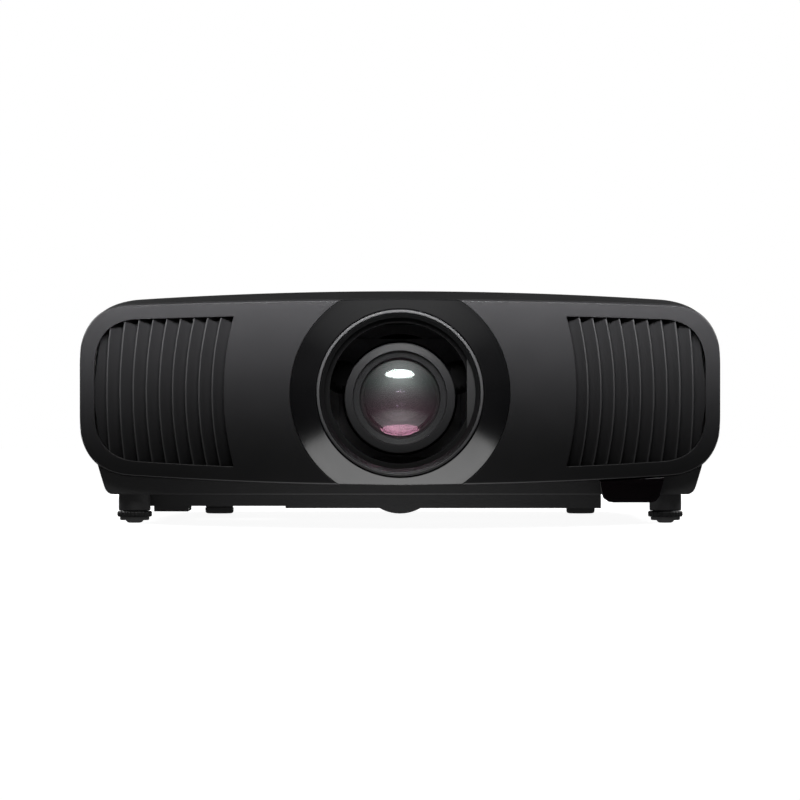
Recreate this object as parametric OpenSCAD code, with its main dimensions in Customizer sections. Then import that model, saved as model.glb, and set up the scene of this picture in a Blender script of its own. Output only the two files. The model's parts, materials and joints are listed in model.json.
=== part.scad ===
// Home cinema projector: casing, lens with motor shift, zoom and focus, sliding lens shutter,
// laser light engine, fans, boards, rear connectors, control keys, filter drawer and screw feet.
// Millimetres. X to the right seen from the front, Y towards the back, Z up. Origin on the floor
// under the middle of the body.

/* [Body] */
// Width of the body
body_w = 520; // [516:1:524]
// Depth of the body, front panel to rear edge
body_d = 447; // [447:1:455]
// Height of the top of the crown above the floor
body_h = 192; // [191:0.5:194]
// Thickness of the shell walls
wall = 3; // [2.5:0.25:3]
// Depth by which the ends of the front panel are swept back
sweep = 12; // [10:0.5:13]

/* [Lens] */
// Radius of the round recess in the front panel
recess_r = 89.4; // [88.5:0.1:89.5]
// Outer radius of the trim ring
ring_r = 68; // [67.5:0.1:68]
// Radius of the front lens cell
cell_r = 45.3; // [44:0.1:45.5]
// Height of the lens axis below the centre of the ring
lens_drop = 4; // [3:0.5:5]

/* [Grilles] */
// Number of slats in each grille
slats = 9; // [7:1:9]
// Distance from slat to slat
slat_pitch = 10.7; // [10.5:0.1:10.8]

/* [Feet] */
// Radius of the flange of a front foot
foot_r = 14.2; // [13.8:0.1:14.5]
// Distance of the front feet from the middle
foot_x = 217.3; // [213:0.1:219]

/* [Hidden] */

$fn = 64;
e = 0.01;
zc = 106;                 // height of the centre of the front panel and ring
zl = zc - lens_drop;      // height of the lens axis at rest
yf0 = -body_d / 2 - 0.52; // where the swept face would meet the middle, inside the recess
aw = body_w / 2;          // half width
yb = -198;                // back plane of the front panel's rim
ys = -197.5;              // front edge of the shells
zs = 106;                 // height of the split between cover and case
zf = 26.5;                // top of the case floor

// ---------- outline functions ----------
// Upper half of an outline: flat side, rounded corner of radii rx, ry and exponent n, crowned top.
function vmap(t, b, ry, n) = 1 - (ry / b) * (1 - pow(sin(t), 2 / n));
function upper(a, b, k, rx, ry, n, s = 1) = concat(
  [[s * a, 0]],
  [for (i = [0 : 9]) let (t = i * 10, u = a - rx + rx * pow(cos(t), 2 / n), v = vmap(t, b, ry, n))
    [s * u, v * (b - k * u * u)]],
  [for (i = [1 : 5]) let (u = (a - rx) * (1 - i / 6)) [s * u, b - k * u * u]],
  [[0, b]]);
function rev(l) = [for (i = [len(l) - 1 : -1 : 0]) l[i]];
function tail(l) = [for (i = [1 : len(l) - 1]) l[i]];
// Closed outline, anticlockwise seen from the front, about height 0.
function outline(a, bt, kt, bb, kb, off = 0) = concat(
  upper(a - off, bt - off, kt, 42 - off, 52 - off, 2.45),
  tail(rev(upper(a - off, bt - off, kt, 42 - off, 52 - off, 2.45, -1))),
  tail([for (p = upper(a - off, bb - off, kb, 43 - off, 54 - off, 2.5, -1)) [p[0], -p[1]]]),
  [for (i = [1 : 15]) let (l = rev(upper(a - off, bb - off, kb, 43 - off, 54 - off, 2.5))) [l[i][0], -l[i][1]]]);
// Side of the case at a depth d below the split.
function side(a, d) = a - 0.161 * d - 0.00104 * d * d;
// Whole body section: crowned cover over a tapered case.
function section(a, b, k, rx, ry, D) = concat(
  upper(a, b, k, rx, ry, 2.4),
  tail(rev(upper(a, b, k, rx, ry, 2.4, -1))),
  [for (d = [18, 38, 58, D - 5]) [-side(a, d), -d]],
  [[-side(a, D - 5) + 1.3, -(D - 1.6)], [-side(a, D - 5) + 4.6, -D], [-120, -D], [0, -D], [120, -D],
   [side(a, D - 5) - 4.6, -D], [side(a, D - 5) - 1.3, -(D - 1.6)]],
  [for (d = [D - 5, 58, 38, 18]) [side(a, d), -d]]);

// Solid through a list of stations, each [y, closed outline].
module skin(st) {
  n = len(st[0][1]);
  m = len(st);
  pts = [for (s = st) for (p = s[1]) [p[0], s[0], p[1] + zc]];
  polyhedron(points = pts, faces = concat(
    [[for (i = [n - 1 : -1 : 0]) i]],
    [[for (i = [0 : n - 1]) (m - 1) * n + i]],
    [for (j = [0 : m - 2]) for (i = [0 : n - 1]) let (q = (i + 1) % n) each
      [[j * n + i, j * n + q, (j + 1) * n + q], [j * n + i, (j + 1) * n + q, (j + 1) * n + i]]]), convexity = 6);
}
// Keeps a shell as the mesh that its skins make.
module meshed() { resize([0, 0, 0]) union() children(); }

bh = body_h - zc;
ks = [[ys, aw - 0.8, bh - 9.2, 0.83, 42, 52, 82.5],
      [-191, aw - 0.4, bh - 7.7, 0.95, 42, 53, 82.5],
      [-178, aw - 0.2, bh - 5.6, 1.12, 43, 54, 82.5],
      [-150, aw, bh - 2.9, 1.35, 45, 57, 82.5],
      [-100, aw, bh - 0.8, 1.5, 46, 59, 82.5],
      [-30, aw, bh, 1.58, 46, 60, 82.5],
      [60, aw - 0.5, bh - 0.4, 1.58, 46, 60, 82.5],
      [120, aw - 2.5, bh - 1.2, 1.58, 46, 60, 82.5],
      [160, aw - 6, bh - 2.4, 1.58, 46, 60, 82.5],
      [190, aw - 11, bh - 4, 1.58, 46, 60, 82.5],
      [208, aw - 16.5, bh - 5.7, 1.58, 46, 60, 82.5],
      [217, aw - 21.5, bh - 7.4, 1.58, 46, 60, 82],
      [221.5, aw - 26, bh - 9.2, 1.58, 46, 60, 81],
      [body_d / 2, aw - 30.5, bh - 11.4, 1.58, 46, 60, 79]];
module body_solid() skin([for (s = ks) [s[0], section(s[1], s[2], s[3] / 10000, s[4], s[5], s[6])]]);
module body_core() {
  skin(concat([[ys - 1, section(aw - 0.8 - wall, bh - 9.2 - wall, 0.000083, 40, 50, 82.5 - wall)]],
    [for (i = [1 : 9]) let (s = ks[i]) [s[0], section(s[1] - wall, s[2] - wall, s[3] / 10000, s[4] - 2, s[5] - 2, s[6] - wall)]],
    [[204, section(aw - 18.2, bh - 8.3, 0.000158, 44, 58, 79.5)]]));
  skin([for (y = [203, body_d / 2 + 1]) [y, section(aw - 34, bh - 14.6, 0.000158, 40, 52, 75.5)]]);
}

// ---------- front panel ----------
function yfront(x) = yf0 + sweep * (x / aw) * (x / aw);
// Region behind the swept front face, moved back by off, in plan.
module behind_front(off, z0 = 20, z1 = 190)
  translate([0, 0, z0]) linear_extrude(height = z1 - z0)
    polygon(concat([for (i = [-13 : 13]) [i * 20.2, yfront(i * 20.2) + off]], [[262.6, -180], [-262.6, -180]]));
module panel_prism(off, y1 = yb)
  skin([for (s = [[yf0 - 1, 0], [y1, 1.3]]) [s[0], outline(aw, 75.2 + s[1], 0.000083, 74, 0.000153, off)]]);
// Cone of the lens recess, moved back by d.
module recess_cone(d = 0) translate([0, yf0 + d - 10, zc]) rotate([-90, 0, 0])
  cylinder(r1 = recess_r + 10.44, r2 = recess_r - 21.4, h = 30.5, $fn = 96);
// Opening of a grille, s is -1 for the left, 1 for the right, made larger or smaller by off.
module grille_prism(off, s, y0, y1) translate([0, y1, zc]) rotate([90, 0, 0])
  linear_extrude(height = y1 - y0) grille_2d_inset(off, s);
module grille_2d_inset(off, s) if (off >= 0)
  intersection() {
    polygon(outline(aw - 12, 63.5, 0.000083, 62.3, 0.000153, off));
    difference() {
      translate([s > 0 ? 110 : -262, -90]) square([152, 180]);
      translate([-s * 88, 1]) circle(r = 231 + off, $fn = 96);
    }
  } else
  intersection() {
    polygon(outline(aw - 12 - off, 63.5 - off, 0.000083, 62.3 - off, 0.000153, 0));
    difference() {
      translate([s > 0 ? 110 : -262, -90]) square([152, 180]);
      translate([-s * 88, 1]) circle(r = 231 + off, $fn = 96);
    }
  }
module front_panel() color([0.12, 0.12, 0.13]) meshed() difference() {
  intersection() { panel_prism(0); behind_front(0); }
  intersection() { panel_prism(2.6, yb + 1); behind_front(2.8); }
  for (s = [-1, 1]) grille_prism(0, s, -230, -195);
  recess_cone(2.9);
  translate([0, -215, zc]) rotate([-90, 0, 0]) cylinder(r = 69, h = 30);
}
module lens_surround() color([0.03, 0.03, 0.035]) meshed() difference() {
  intersection() { panel_prism(0); recess_cone(2.6); behind_front(0.6); }
  recess_cone(0);
  translate([0, -240, zc]) rotate([-90, 0, 0]) cylinder(r = 68.3, h = 60, $fn = 96);
}
// One slat: a thin blade that leans towards the lens as it goes back.
module slat(s, i) {
  x = 153 + slat_pitch * i;
  r = 250 + 17 * i;
  n = 12;
  d = yfront(x) + 1.6;
  pts = [for (j = [0 : n]) let (z = -72 + 144 * j / n, xa = x - (z * z) / (2 * r)) each
    [[s * xa, d, z + zc], [s * (xa - 10.2), d + 9, z + zc], [s * (xa - 11.2), d + 8, z + zc], [s * (xa - 2.2), d + 0.1, z + zc]]];
  q = s < 0 ? [[0, 1], [1, 2], [2, 3], [3, 0]] : [[1, 0], [2, 1], [3, 2], [0, 3]];
  polyhedron(points = pts, faces = concat(
    s < 0 ? [[3, 2, 1, 0], [n * 4, n * 4 + 1, n * 4 + 2, n * 4 + 3]] : [[0, 1, 2, 3], [n * 4 + 3, n * 4 + 2, n * 4 + 1, n * 4]],
    [for (j = [0 : n - 1]) for (k = q) each
      [[j * 4 + k[0], j * 4 + k[1], j * 4 + 4 + k[1]], [j * 4 + k[0], j * 4 + 4 + k[1], j * 4 + 4 + k[0]]]]));
}
module grille(s) color([0.14, 0.14, 0.15]) meshed() {
  intersection() {
    for (i = [0 : slats - 1]) slat(s, i);
    grille_prism(0.3, s, -230, yb - 1);
  }
  // rim behind the panel and two cross ribs that carry the slats
  difference() {
    intersection() { grille_prism(-2.2, s, -230, yb - 1); behind_front(3.0); }
    grille_prism(1.6, s, -231, -190);
  }
  for (z = [-34, 34]) intersection() {
    translate([s > 0 ? 112 : -260, -212, zc + z - 1.2]) cube([148, 12.8, 2.4]);
    grille_prism(0.5, s, -230, yb - 1.2);
    behind_front(9.2);
  }
}
module lens_ring() color([0.3, 0.3, 0.31]) translate([0, 0, zc]) rotate([90, 0, 0])
  rotate_extrude($fn = 128) polygon([[ring_r - 2.6, 203.6], [ring_r - 2.2, 204.6], [ring_r - 1.2, 205], [ring_r - 0.4, 204.6],
    [ring_r, 203.6], [ring_r, 199.8], [71.4, 199.8], [71.4, 198.4], [ring_r, 198.4], [ring_r, 194.4],
    [61.5, 194.4], [61.5, 199.2], [63, 199.6], [ring_r - 2.6, 199.6]]);
module ir_window() color([0.02, 0.01, 0.02]) meshed() translate([0, -198.4, 0]) rotate([90, 0, 0])
  linear_extrude(height = 14.6) difference() {
    polygon([[161, 42], [162.2, 34.2], [163.4, 26], [165.6, 20.6], [169.5, 17.8], [173, 17.2], [204, 17.2], [207.5, 18.2], [210.6, 22],
      [212.3, 28], [213.8, 34.2], [215, 42]]);
    translate([0, zc]) polygon(outline(aw, 76.5, 0.000083, 75.35, 0.000153));
  }

// ---------- casing ----------
module top_cover() color([0.13, 0.13, 0.14]) meshed() {
  difference() {
    body_solid();
    body_core();
    translate([-300, -300, -10]) cube([600, 600, zs + 0.25 + 10]);
  }
  // locating lip inside the split line
  for (s = [-1, 1]) translate([s * (aw - 7.2) - 1, -90, zs - 5]) cube([2, 180, 30]);
  for (s = [-1, 1]) translate([s * (aw - 5.6) - 1.6, -90, zs + 12]) cube([3.2, 180, 6]);
}
module case_shell() meshed() {
  difference() {
    body_solid();
    body_core();
    translate([-300, -300, zs - 0.25]) cube([600, 600, 200]);
    // air opening over the filter
    translate([-192, -88, 20]) cube([72, 76, 12]);
  }
  // front skirt under the panel
  intersection() {
    body_solid();
    translate([-260, ys, 20]) cube([520, 3, 13.2]);
  }
  for (s = [-1, 1]) intersection() {
    body_solid();
    translate([s > 0 ? 140 : -260, ys, 20]) cube([120, 3, 26]);
  }
}
module lower_case() color([0.1, 0.1, 0.105]) difference() {
  union() {
    case_shell();
    for (s = [-1, 1]) {
      // sleeve for the front foot, closed at the top
      translate([s * foot_x, -176, 9.9]) cylinder(r = 13, h = 15);
      translate([s * foot_x, -176, 25]) cylinder(r = 9, h = 29);
    }
    for (x = [-110, 110]) for (y = [-150, 150]) translate([x, y, 26]) cylinder(r = 5, h = 14);
  }
  for (s = [-1, 1]) translate([s * foot_x, -176, 0]) cylinder(r = 5.05, h = 51);
  for (x = [-110, 110]) for (y = [-150, 150]) translate([x, y, 20]) cylinder(r = 1.6, h = 17);
}
module rear_panel() color([0.09, 0.09, 0.095]) difference() {
  translate([0, 204, zc]) rotate([90, 0, 0]) linear_extrude(height = 2.4)
    polygon(section(aw - 21, bh - 11, 0.000158, 42, 56, 77.5));
  for (x = [-118, -94]) translate([x - 7.9, 199, 61.4]) cube([15.8, 6, 6.9]);
  for (x = [-70, -50]) translate([x - 7, 199, 61.4]) cube([14, 6, 7.9]);
  translate([-34.2, 199, 61.4]) cube([16.4, 6, 13.6]);
  translate([-9.4, 199, 61.4]) cube([31.4, 6, 12.6]);
  for (x = [35, 49]) translate([x, 199, 66]) rotate([-90, 0, 0]) cylinder(r = 4.2, h = 6);
  translate([105.6, 199, 51.6]) cube([28.8, 6, 20.8]);
  // exhaust slots
  for (i = [0 : 15]) translate([60 + i * 8, 199, 96]) cube([4, 6, 60]);
  for (i = [0 : 11]) translate([-130 + i * 8, 199, 100]) cube([4, 6, 52]);
  // security slot
  translate([70, 199, 64.5]) cube([7, 6, 3]);
  // key holes
  for (k = keys) translate([kx + k[1], 199, kz + k[2]]) rotate([-90, 0, 0]) cylinder(r = k[3] + 0.3, h = 6);
  translate([kx, 199, kz]) rotate([-90, 0, 0]) cylinder(r = 17.4, h = 6);
  for (i = [0 : 2]) translate([kx - 22 + i * 7, 199, kz - 32]) rotate([-90, 0, 0]) cylinder(r = 1.6, h = 6);
  // screw holes
  for (p = rear_screws) translate([p[0], 199, p[1]]) rotate([-90, 0, 0]) cylinder(r = 1.7, h = 6);
}
rear_screws = [[-216, 92], [216, 92], [-150, 36], [150, 36], [0, 36], [-100, 170], [100, 170]];

// ---------- base plinth, filter drawer, feet ----------
module base_plinth() color([0.09, 0.09, 0.095]) difference() {
  union() {
    difference() {
      union() {
        translate([-205, -166, 13.4]) cube([370, 340, 10.1]);
        translate([-94, -166, 11.6]) cube([259, 340, 4]);
        // rounded belly under the lens
        intersection() {
          translate([0, -160, 41]) rotate([-90, 0, 0]) cylinder(r = 34, h = 60);
          translate([-40, -160, 0]) cube([80, 60, 20]);
        }
      }
      // hollows, with ribs left between them
      for (x = [-90.5, 12]) for (y = [-162.5, -54, 54]) translate([x, y, 14.2]) cube([98, 104, 12]);
      translate([114, -162.5, 14.2]) cube([47.5, 333, 12]);
      translate([-201.5, -4, 16]) cube([107, 174.5, 12]);
      translate([-201.5, -162.5, 16]) cube([107, 64, 12]);
    }
    for (x = [-84, 84]) for (y = [-70, 110]) translate([x, y, 11.6]) cylinder(r = 9, h = 11.9);
    for (x = [-110, 110]) for (y = [-150, 150]) translate([x, y, x < 0 ? 13.4 : 11.6]) cylinder(r = 7, h = x < 0 ? 10.1 : 11.9);
    // seats of the rear feet
    for (s = [-1, 1]) translate([s * 160, 158, s < 0 ? 13.4 : 11.6]) cylinder(r = 15, h = s < 0 ? 10.1 : 11.9);
  }
  // bay of the filter drawer, open to the left, with a groove along each side
  translate([-206, -91.3, 12]) cube([111.6, 80.6, 12]);
  translate([-206, -93.7, 17.8]) cube([111.6, 85.4, 2.6]);
  // intake slots under the middle
  for (i = [0 : 8]) translate([-78 + i * 9, 64, 10]) cube([4.5, 30, 8]);
  // ceiling mount holes
  for (x = [-84, 84]) for (y = [-70, 110]) translate([x, y, 10]) cylinder(r = 2, h = 11);
  // case screws, sunk in counterbores
  for (x = [-110, 110]) for (y = [-150, 150]) translate([x, y, 10]) {
    cylinder(r = 1.8, h = 15);
    cylinder(r = 3.6, h = x < 0 ? 6.4 : 4.6);
  }
}
module filter_tray() color([0.1, 0.1, 0.105]) {
  difference() {
    union() {
      translate([-205, -91, 13.4]) cube([110, 80, 9.4]);
      translate([-205, -93.3, 18.1]) cube([110, 84.6, 2]);
    }
    translate([-201, -87, 15]) cube([103, 72, 12]);
    for (i = [0 : 8]) translate([-190 + i * 10, -83, 10]) cube([5, 64, 8]);
  }
  // finger grip
  difference() {
    translate([-206, -84, 7]) cube([28.6, 66, 7]);
    translate([-198, -80, 6]) cube([18, 58, 7.4]);
  }
}
module air_filter() color([0.75, 0.76, 0.74]) difference() {
  translate([-200.6, -86.6, 15.2]) cube([102.2, 71.2, 7.2]);
  for (i = [0 : 11]) translate([-196 + i * 8, -84, 18]) cube([4, 66.4, 6]);
}
module foot_pad(s) color([0.05, 0.05, 0.055]) translate([s * foot_x, -176, 0]) {
  rotate_extrude($fn = 64) polygon([[0, 0], [5.6, 0], [6.6, 0.7], [7.4, 2], [11.8, 2.2], [12.2, 3], [12.2, 4.8], [3, 4.8], [3, 8.6], [0, 8.6]]);
}
module foot_screw(s) color([0.12, 0.12, 0.125]) translate([s * foot_x, -176, 0]) difference() {
  union() {
    translate([0, 0, 4.9]) cylinder(r = foot_r - 0.6, h = 4.7);
    // knurled rim
    for (i = [0 : 23]) rotate([0, 0, i * 15]) translate([foot_r - 0.8, 0, 5.2]) cylinder(r = 0.8, h = 4.1, $fn = 16);
    translate([0, 0, 9]) cylinder(r = 5, h = 39);
  }
  translate([0, 0, 4]) cylinder(r = 3.05, h = 5);
}
module rear_feet() color([0.05, 0.05, 0.055]) for (s = [-1, 1]) translate([s * 160, 158, 0]) {
  rotate_extrude($fn = 64) polygon([[0, 0], [10.6, 0], [12.2, 1.2], [12.6, 3], [12.6, s > 0 ? 11.6 : 13.4], [0, s > 0 ? 11.6 : 13.4]]);
}
module screws() color([0.4, 0.4, 0.42]) {
  for (x = [-110, 110]) for (y = [-150, 150]) translate([x, y, x < 0 ? 16.4 : 14.6]) difference() {
    union() {
      translate([0, 0, -2]) cylinder(r = 3, h = 2);
      translate([0, 0, -0.1]) cylinder(r = 1.5, h = 16);
    }
    translate([0, 0, -3]) cylinder(r = 1.4, h = 2, $fn = 6);
  }
  for (p = rear_screws) translate([p[0], 204, p[1]]) rotate([-90, 0, 0]) difference() {
    union() {
      cylinder(r = 3, h = 1.8);
      translate([0, 0, -8]) cylinder(r = 1.5, h = 8.1);
    }
    translate([0, 0, 0.9]) cylinder(r = 1.4, h = 1, $fn = 6);
  }
}

// ---------- lens shutter ----------
module shutter_frame() color([0.06, 0.06, 0.065]) difference() {
  union() {
    translate([-126, -188.2, 34]) cube([258, 1.8, 140]);
    translate([-126, -194.2, 169]) cube([258, 6.2, 5]);
    translate([-126, -194.2, 34]) cube([258, 6.2, 4.8]);
    translate([-126, -188.8, 38.7]) cube([258, 0.7, 4.5]);
  }
  translate([0, -200, zc]) rotate([-90, 0, 0]) cylinder(r = 57.5, h = 20);
  translate([-3.5, -200, 28]) cube([17, 11.8, 10.9]);
  translate([5, -200, 35.7]) rotate([-90, 0, 0]) cylinder(r = 1.4, h = 20);
}
module shutter_leaf_front() color([0.2, 0.2, 0.21]) {
  translate([54.5, -193.4, 43.5]) cube([72, 1.6, 125]);
  translate([-1, -193.4, 41.5]) cube([127.5, 1.6, 2.2]);
  translate([0, -191.8, 0]) rotate([90, 0, 0]) linear_extrude(height = 1.6)
    for (i = [-2 : 47]) let (x = 5 + (i + 0.5) * PI * 0.8) if (x > 0.5 && x < 125)
      polygon([[x - 0.95, 41.6], [x - 0.36, 39.94], [x + 0.36, 39.94], [x + 0.95, 41.6]]);
}
module shutter_leaf_rear() color([0.2, 0.2, 0.21])
  translate([56.5, -190.7, 43.5]) cube([72, 1.6, 125]);
module shutter_motor() difference() {
  translate([5, -186.4, 35.7]) rotate([-90, 0, 0]) cylinder(r = 8.8, h = 20);
  translate([5, -187, 35.7]) rotate([-90, 0, 0]) cylinder(r = 1.05, h = 12);
}
// Dark tunnel between the shutter and the lens drive.
module lens_shroud() color([0.03, 0.03, 0.03]) difference() {
  union() {
    translate([-69, -186.4, 46]) cube([138, 66, 119]);
    for (s = [-1, 1]) translate([s * 74 - 6, -186.4, 100]) cube([12, 3, 12]);
  }
  translate([-67, -187, 48]) cube([134, 68, 115]);
  for (s = [-1, 1]) translate([s * 75, -187, 106]) rotate([-90, 0, 0]) cylinder(r = 1.6, h = 6);
}
// Involute gear outline with short teeth.
function invo(c) = tan(acos(c)) * 180 / PI - acos(c);
function gear(m, z, bl = 0.12) = let (r = m * z / 2, rb = r * cos(20), ra = r + 0.7 * m, rf = r - 0.95 * m,
    h0 = 90 / z - bl / r * 90 / PI + invo(cos(20)),
    rs = [rf, max(rb, rf + 0.01), (max(rb, rf) + ra) / 2, ra])
  [for (i = [0 : z - 1]) each concat(
    [for (q = rs) let (h = h0 - (q > rb ? invo(rb / q) : 0)) q * [cos(i * 360 / z - h), sin(i * 360 / z - h)]],
    [for (q = rev(rs)) let (h = h0 - (q > rb ? invo(rb / q) : 0)) q * [cos(i * 360 / z + h), sin(i * 360 / z + h)]])];
module shutter_pinion() color([0.8, 0.78, 0.7]) {
  translate([5, -191.5, 35.7]) rotate([90, 0, 0]) rotate([0, 0, 90]) linear_extrude(height = 2.4) polygon(gear(0.8, 12));
  translate([5, -193.9, 35.7]) rotate([-90, 0, 0]) cylinder(r = 1, h = 18);
}

// ---------- projection lens ----------
module about_lens() translate([0, 0, zl]) rotate([90, 0, 0]) children();
module lens_front_cell() color([0.16, 0.16, 0.165]) about_lens() rotate_extrude($fn = 128) polygon([
  [cell_r, 166], [cell_r, 181.6], [cell_r - 0.8, 182.5], [38.4, 181.4], [38, 179.2], [37.2, 178.4], [33.2, 176], [32.6, 174],
  [32.6, 172], [33.6, 172], [33.6, 165.2], [31, 165.2], [31, 163], [36.4, 163], [36.4, 149], [43, 149], [43, 166]]);
module front_element() color([0.5, 0.55, 0.5, 0.5]) about_lens() rotate_extrude($fn = 128) polygon(concat(
  [[0, 165.3], [33.4, 165.3], [33.4, 171.9]], [for (i = [6 : -1 : 0]) let (r = 32.4 * i / 6) [r, 171.9 + 8.4 * (1 - r * r / 1049.8)]]));
module lens_barrel() color([0.11, 0.11, 0.115]) difference() {
  about_lens() union() {
    translate([0, 0, 20]) cylinder(r = 36, h = 139);
    translate([0, 0, 147]) cylinder(r = 36, h = 12);
    translate([0, 0, 122]) cylinder(r = 38.5, h = 7);
    translate([0, 0, 74.5]) cylinder(r = 48, h = 4);
    translate([0, 0, 100]) cylinder(r = 41, h = 2.5);
    for (g = [20, 160]) rotate([0, 0, g]) translate([51, 0, 100]) cylinder(r = 14, h = 2.5);
  }
  about_lens() translate([0, 0, 10]) cylinder(r = 30.5, h = 160);
  for (g = [20, 160]) about_lens() rotate([0, 0, g]) translate([51, 0, 99]) cylinder(r = 2.05, h = 5);
  for (g = [45 : 90 : 315]) about_lens() rotate([0, 0, g]) translate([43, 0, 70]) cylinder(r = 1.6, h = 12);
}
module rear_elements() color([0.5, 0.52, 0.6, 0.5]) about_lens() {
  for (p = [[142, 9, 30.4], [112, 7, 30.4], [84, 9, 30.4], [50, 10, 30.4], [24, 8, 30.4]])
    rotate_extrude($fn = 96) polygon(concat([for (i = [0 : 5]) let (r = p[2] * i / 5) [r, p[0] + 3 * r * r / 924]],
      [for (i = [5 : -1 : 0]) let (r = p[2] * i / 5) [r, p[0] + p[1] - 3 * r * r / 924]]));
}
module ring_gear(y0) about_lens() translate([0, 0, y0]) rotate([0, 0, y0 > 125 ? 20 : 160]) difference() {
  linear_extrude(height = 14) polygon(gear(1.5, 56));
  translate([0, 0, -1]) cylinder(r = 36.08, h = 16, $fn = 96);
}
module focus_ring() color([0.75, 0.74, 0.7]) ring_gear(130);
module zoom_ring() color([0.75, 0.74, 0.7]) ring_gear(104);
module pinion(y0, g) about_lens() rotate([0, 0, g]) translate([51, 0, 0]) {
  translate([0, 0, y0]) rotate([0, 0, 180 - 15]) linear_extrude(height = 14) polygon(gear(1.5, 12));
  translate([0, 0, 92]) cylinder(r = 2, h = y0 - 91);
}
module focus_pinion() color([0.8, 0.78, 0.7]) pinion(130, 20);
module zoom_pinion() color([0.8, 0.78, 0.7]) pinion(104, 160);
module lens_motors() color([0.5, 0.5, 0.52]) for (g = [20, 160]) about_lens() rotate([0, 0, g]) translate([51, 0, 80.6]) difference() {
  cylinder(r = 10.8, h = 19.4);
  translate([0, 0, 10]) cylinder(r = 2.05, h = 12);
}
module shift_base() color([0.62, 0.62, 0.64]) {
  difference() {
    union() {
      translate([-80, -56, 30]) cube([160, 6, 142]);
      for (s = [-1, 1]) translate([s * 78 - 3, -66, 30]) cube([6, 12, 152]);
      translate([-80, -56, 26.5]) cube([160, 26, 4.2]);
    }
    translate([0, -70, 106]) rotate([-90, 0, 0]) cylinder(r = 52, h = 30);
    translate([-90, -61.2, 38]) rotate([0, 90, 0]) cylinder(r = 3.05, h = 180);
    translate([-90, -61.2, 176]) rotate([0, 90, 0]) cylinder(r = 3.0, h = 180);
  }
  // upper guide rod and the motor of the sideways screw
  translate([-81, -61.2, 176]) rotate([0, 90, 0]) cylinder(r = 3, h = 162);
  difference() {
    translate([81, -61.2, 38]) rotate([0, 90, 0]) cylinder(r = 10, h = 24);
    translate([80, -61.2, 38]) rotate([0, 90, 0]) cylinder(r = 3.05, h = 14);
  }
}
module shift_x_carriage() color([0.58, 0.58, 0.6]) {
  difference() {
    union() {
      translate([-66, -64, 43]) cube([132, 5.6, 126]);
      for (x = [-40, 26]) translate([x, -66.2, 168]) cube([14, 9.8, 13]);
      for (x = [-40, 26]) translate([x, -66.2, 32.6]) cube([14, 9.8, 12]);
      for (s = [-1, 1]) for (z = [43.1, 166]) translate([s * 59 - 7, -77, z]) cube([14, 15, z < 100 ? 3.5 : 3]);
      for (s = [-1, 1]) translate([s * 59 - 7, -77, 168.9]) cube([14, 15, 3.1]);
    }
    translate([0, -70, 106]) rotate([-90, 0, 0]) cylinder(r = 50, h = 30);
    for (z = [38, 176]) translate([-90, -61.2, z]) rotate([0, 90, 0]) cylinder(r = 3.06, h = 180);
    translate([59, -71.5, 30]) cylinder(r = 3.05, h = 160);
    translate([-59, -71.5, 30]) cylinder(r = 3.0, h = 160);
  }
  translate([-59, -71.5, 42]) cylinder(r = 3, h = 131);
  difference() {
    translate([59, -71.5, 172]) cylinder(r = 5, h = 13);
    translate([59, -71.5, 171]) cylinder(r = 3.05, h = 8);
  }
}
module shift_z_carriage() color([0.55, 0.55, 0.57]) difference() {
  union() {
    translate([-51.4, -74.5, zl - 50]) cube([102.8, 6, 100]);
    for (s = [-1, 1]) translate([s * 58.5 - 7.6, -76.5, zl - 24]) cube([15.2, 9.6, 48]);
  }
  translate([0, -80, zl]) rotate([-90, 0, 0]) cylinder(r = 36.2, h = 20, $fn = 96);
  for (s = [-1, 1]) translate([s * 59, -71.5, 30]) cylinder(r = 3.06, h = 160);
  for (g = [45 : 90 : 315]) about_lens() rotate([0, 0, g]) translate([43, 0, 66]) cylinder(r = 1.6, h = 12);
}
module shift_screw_x() color([0.7, 0.7, 0.72]) translate([-81, -61.2, 38]) rotate([0, 90, 0]) cylinder(r = 3, h = 174);
module shift_screw_z() color([0.7, 0.7, 0.72]) translate([59, -71.5, 42]) cylinder(r = 3, h = 136);

// ---------- light engine ----------
module optics_housing() color([0.1, 0.1, 0.1]) difference() {
  union() {
    translate([-62, -14, 80]) cube([212, 126, 54]);
    for (p = [[-54, -6], [142, -6], [-54, 104], [142, 104]]) translate([p[0], p[1], 26.5]) cylinder(r = 6, h = 56);
  }
  translate([-59, -11, 83]) cube([206, 120, 60]);
  translate([0, -20, 106]) rotate([-90, 0, 0]) cylinder(r = 18, h = 12);
  translate([145, 84, 104]) cube([10, 24, 26]);
  for (p = [[-54, -6], [142, -6], [-54, 104], [142, 104]]) translate([p[0], p[1], 20]) cylinder(r = 1.6, h = 18);
}
module prism_unit() {
  translate([-15, -8, 91]) cube([30, 30, 30]);
  for (s = [-1, 1]) translate([s * 19 - 1.5, -7, 91]) cube([3, 28, 29]);
  translate([-14, 25, 91]) cube([28, 3, 29]);
  translate([-22, -9, 83]) cube([44, 38, 8.2]);
}
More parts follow.
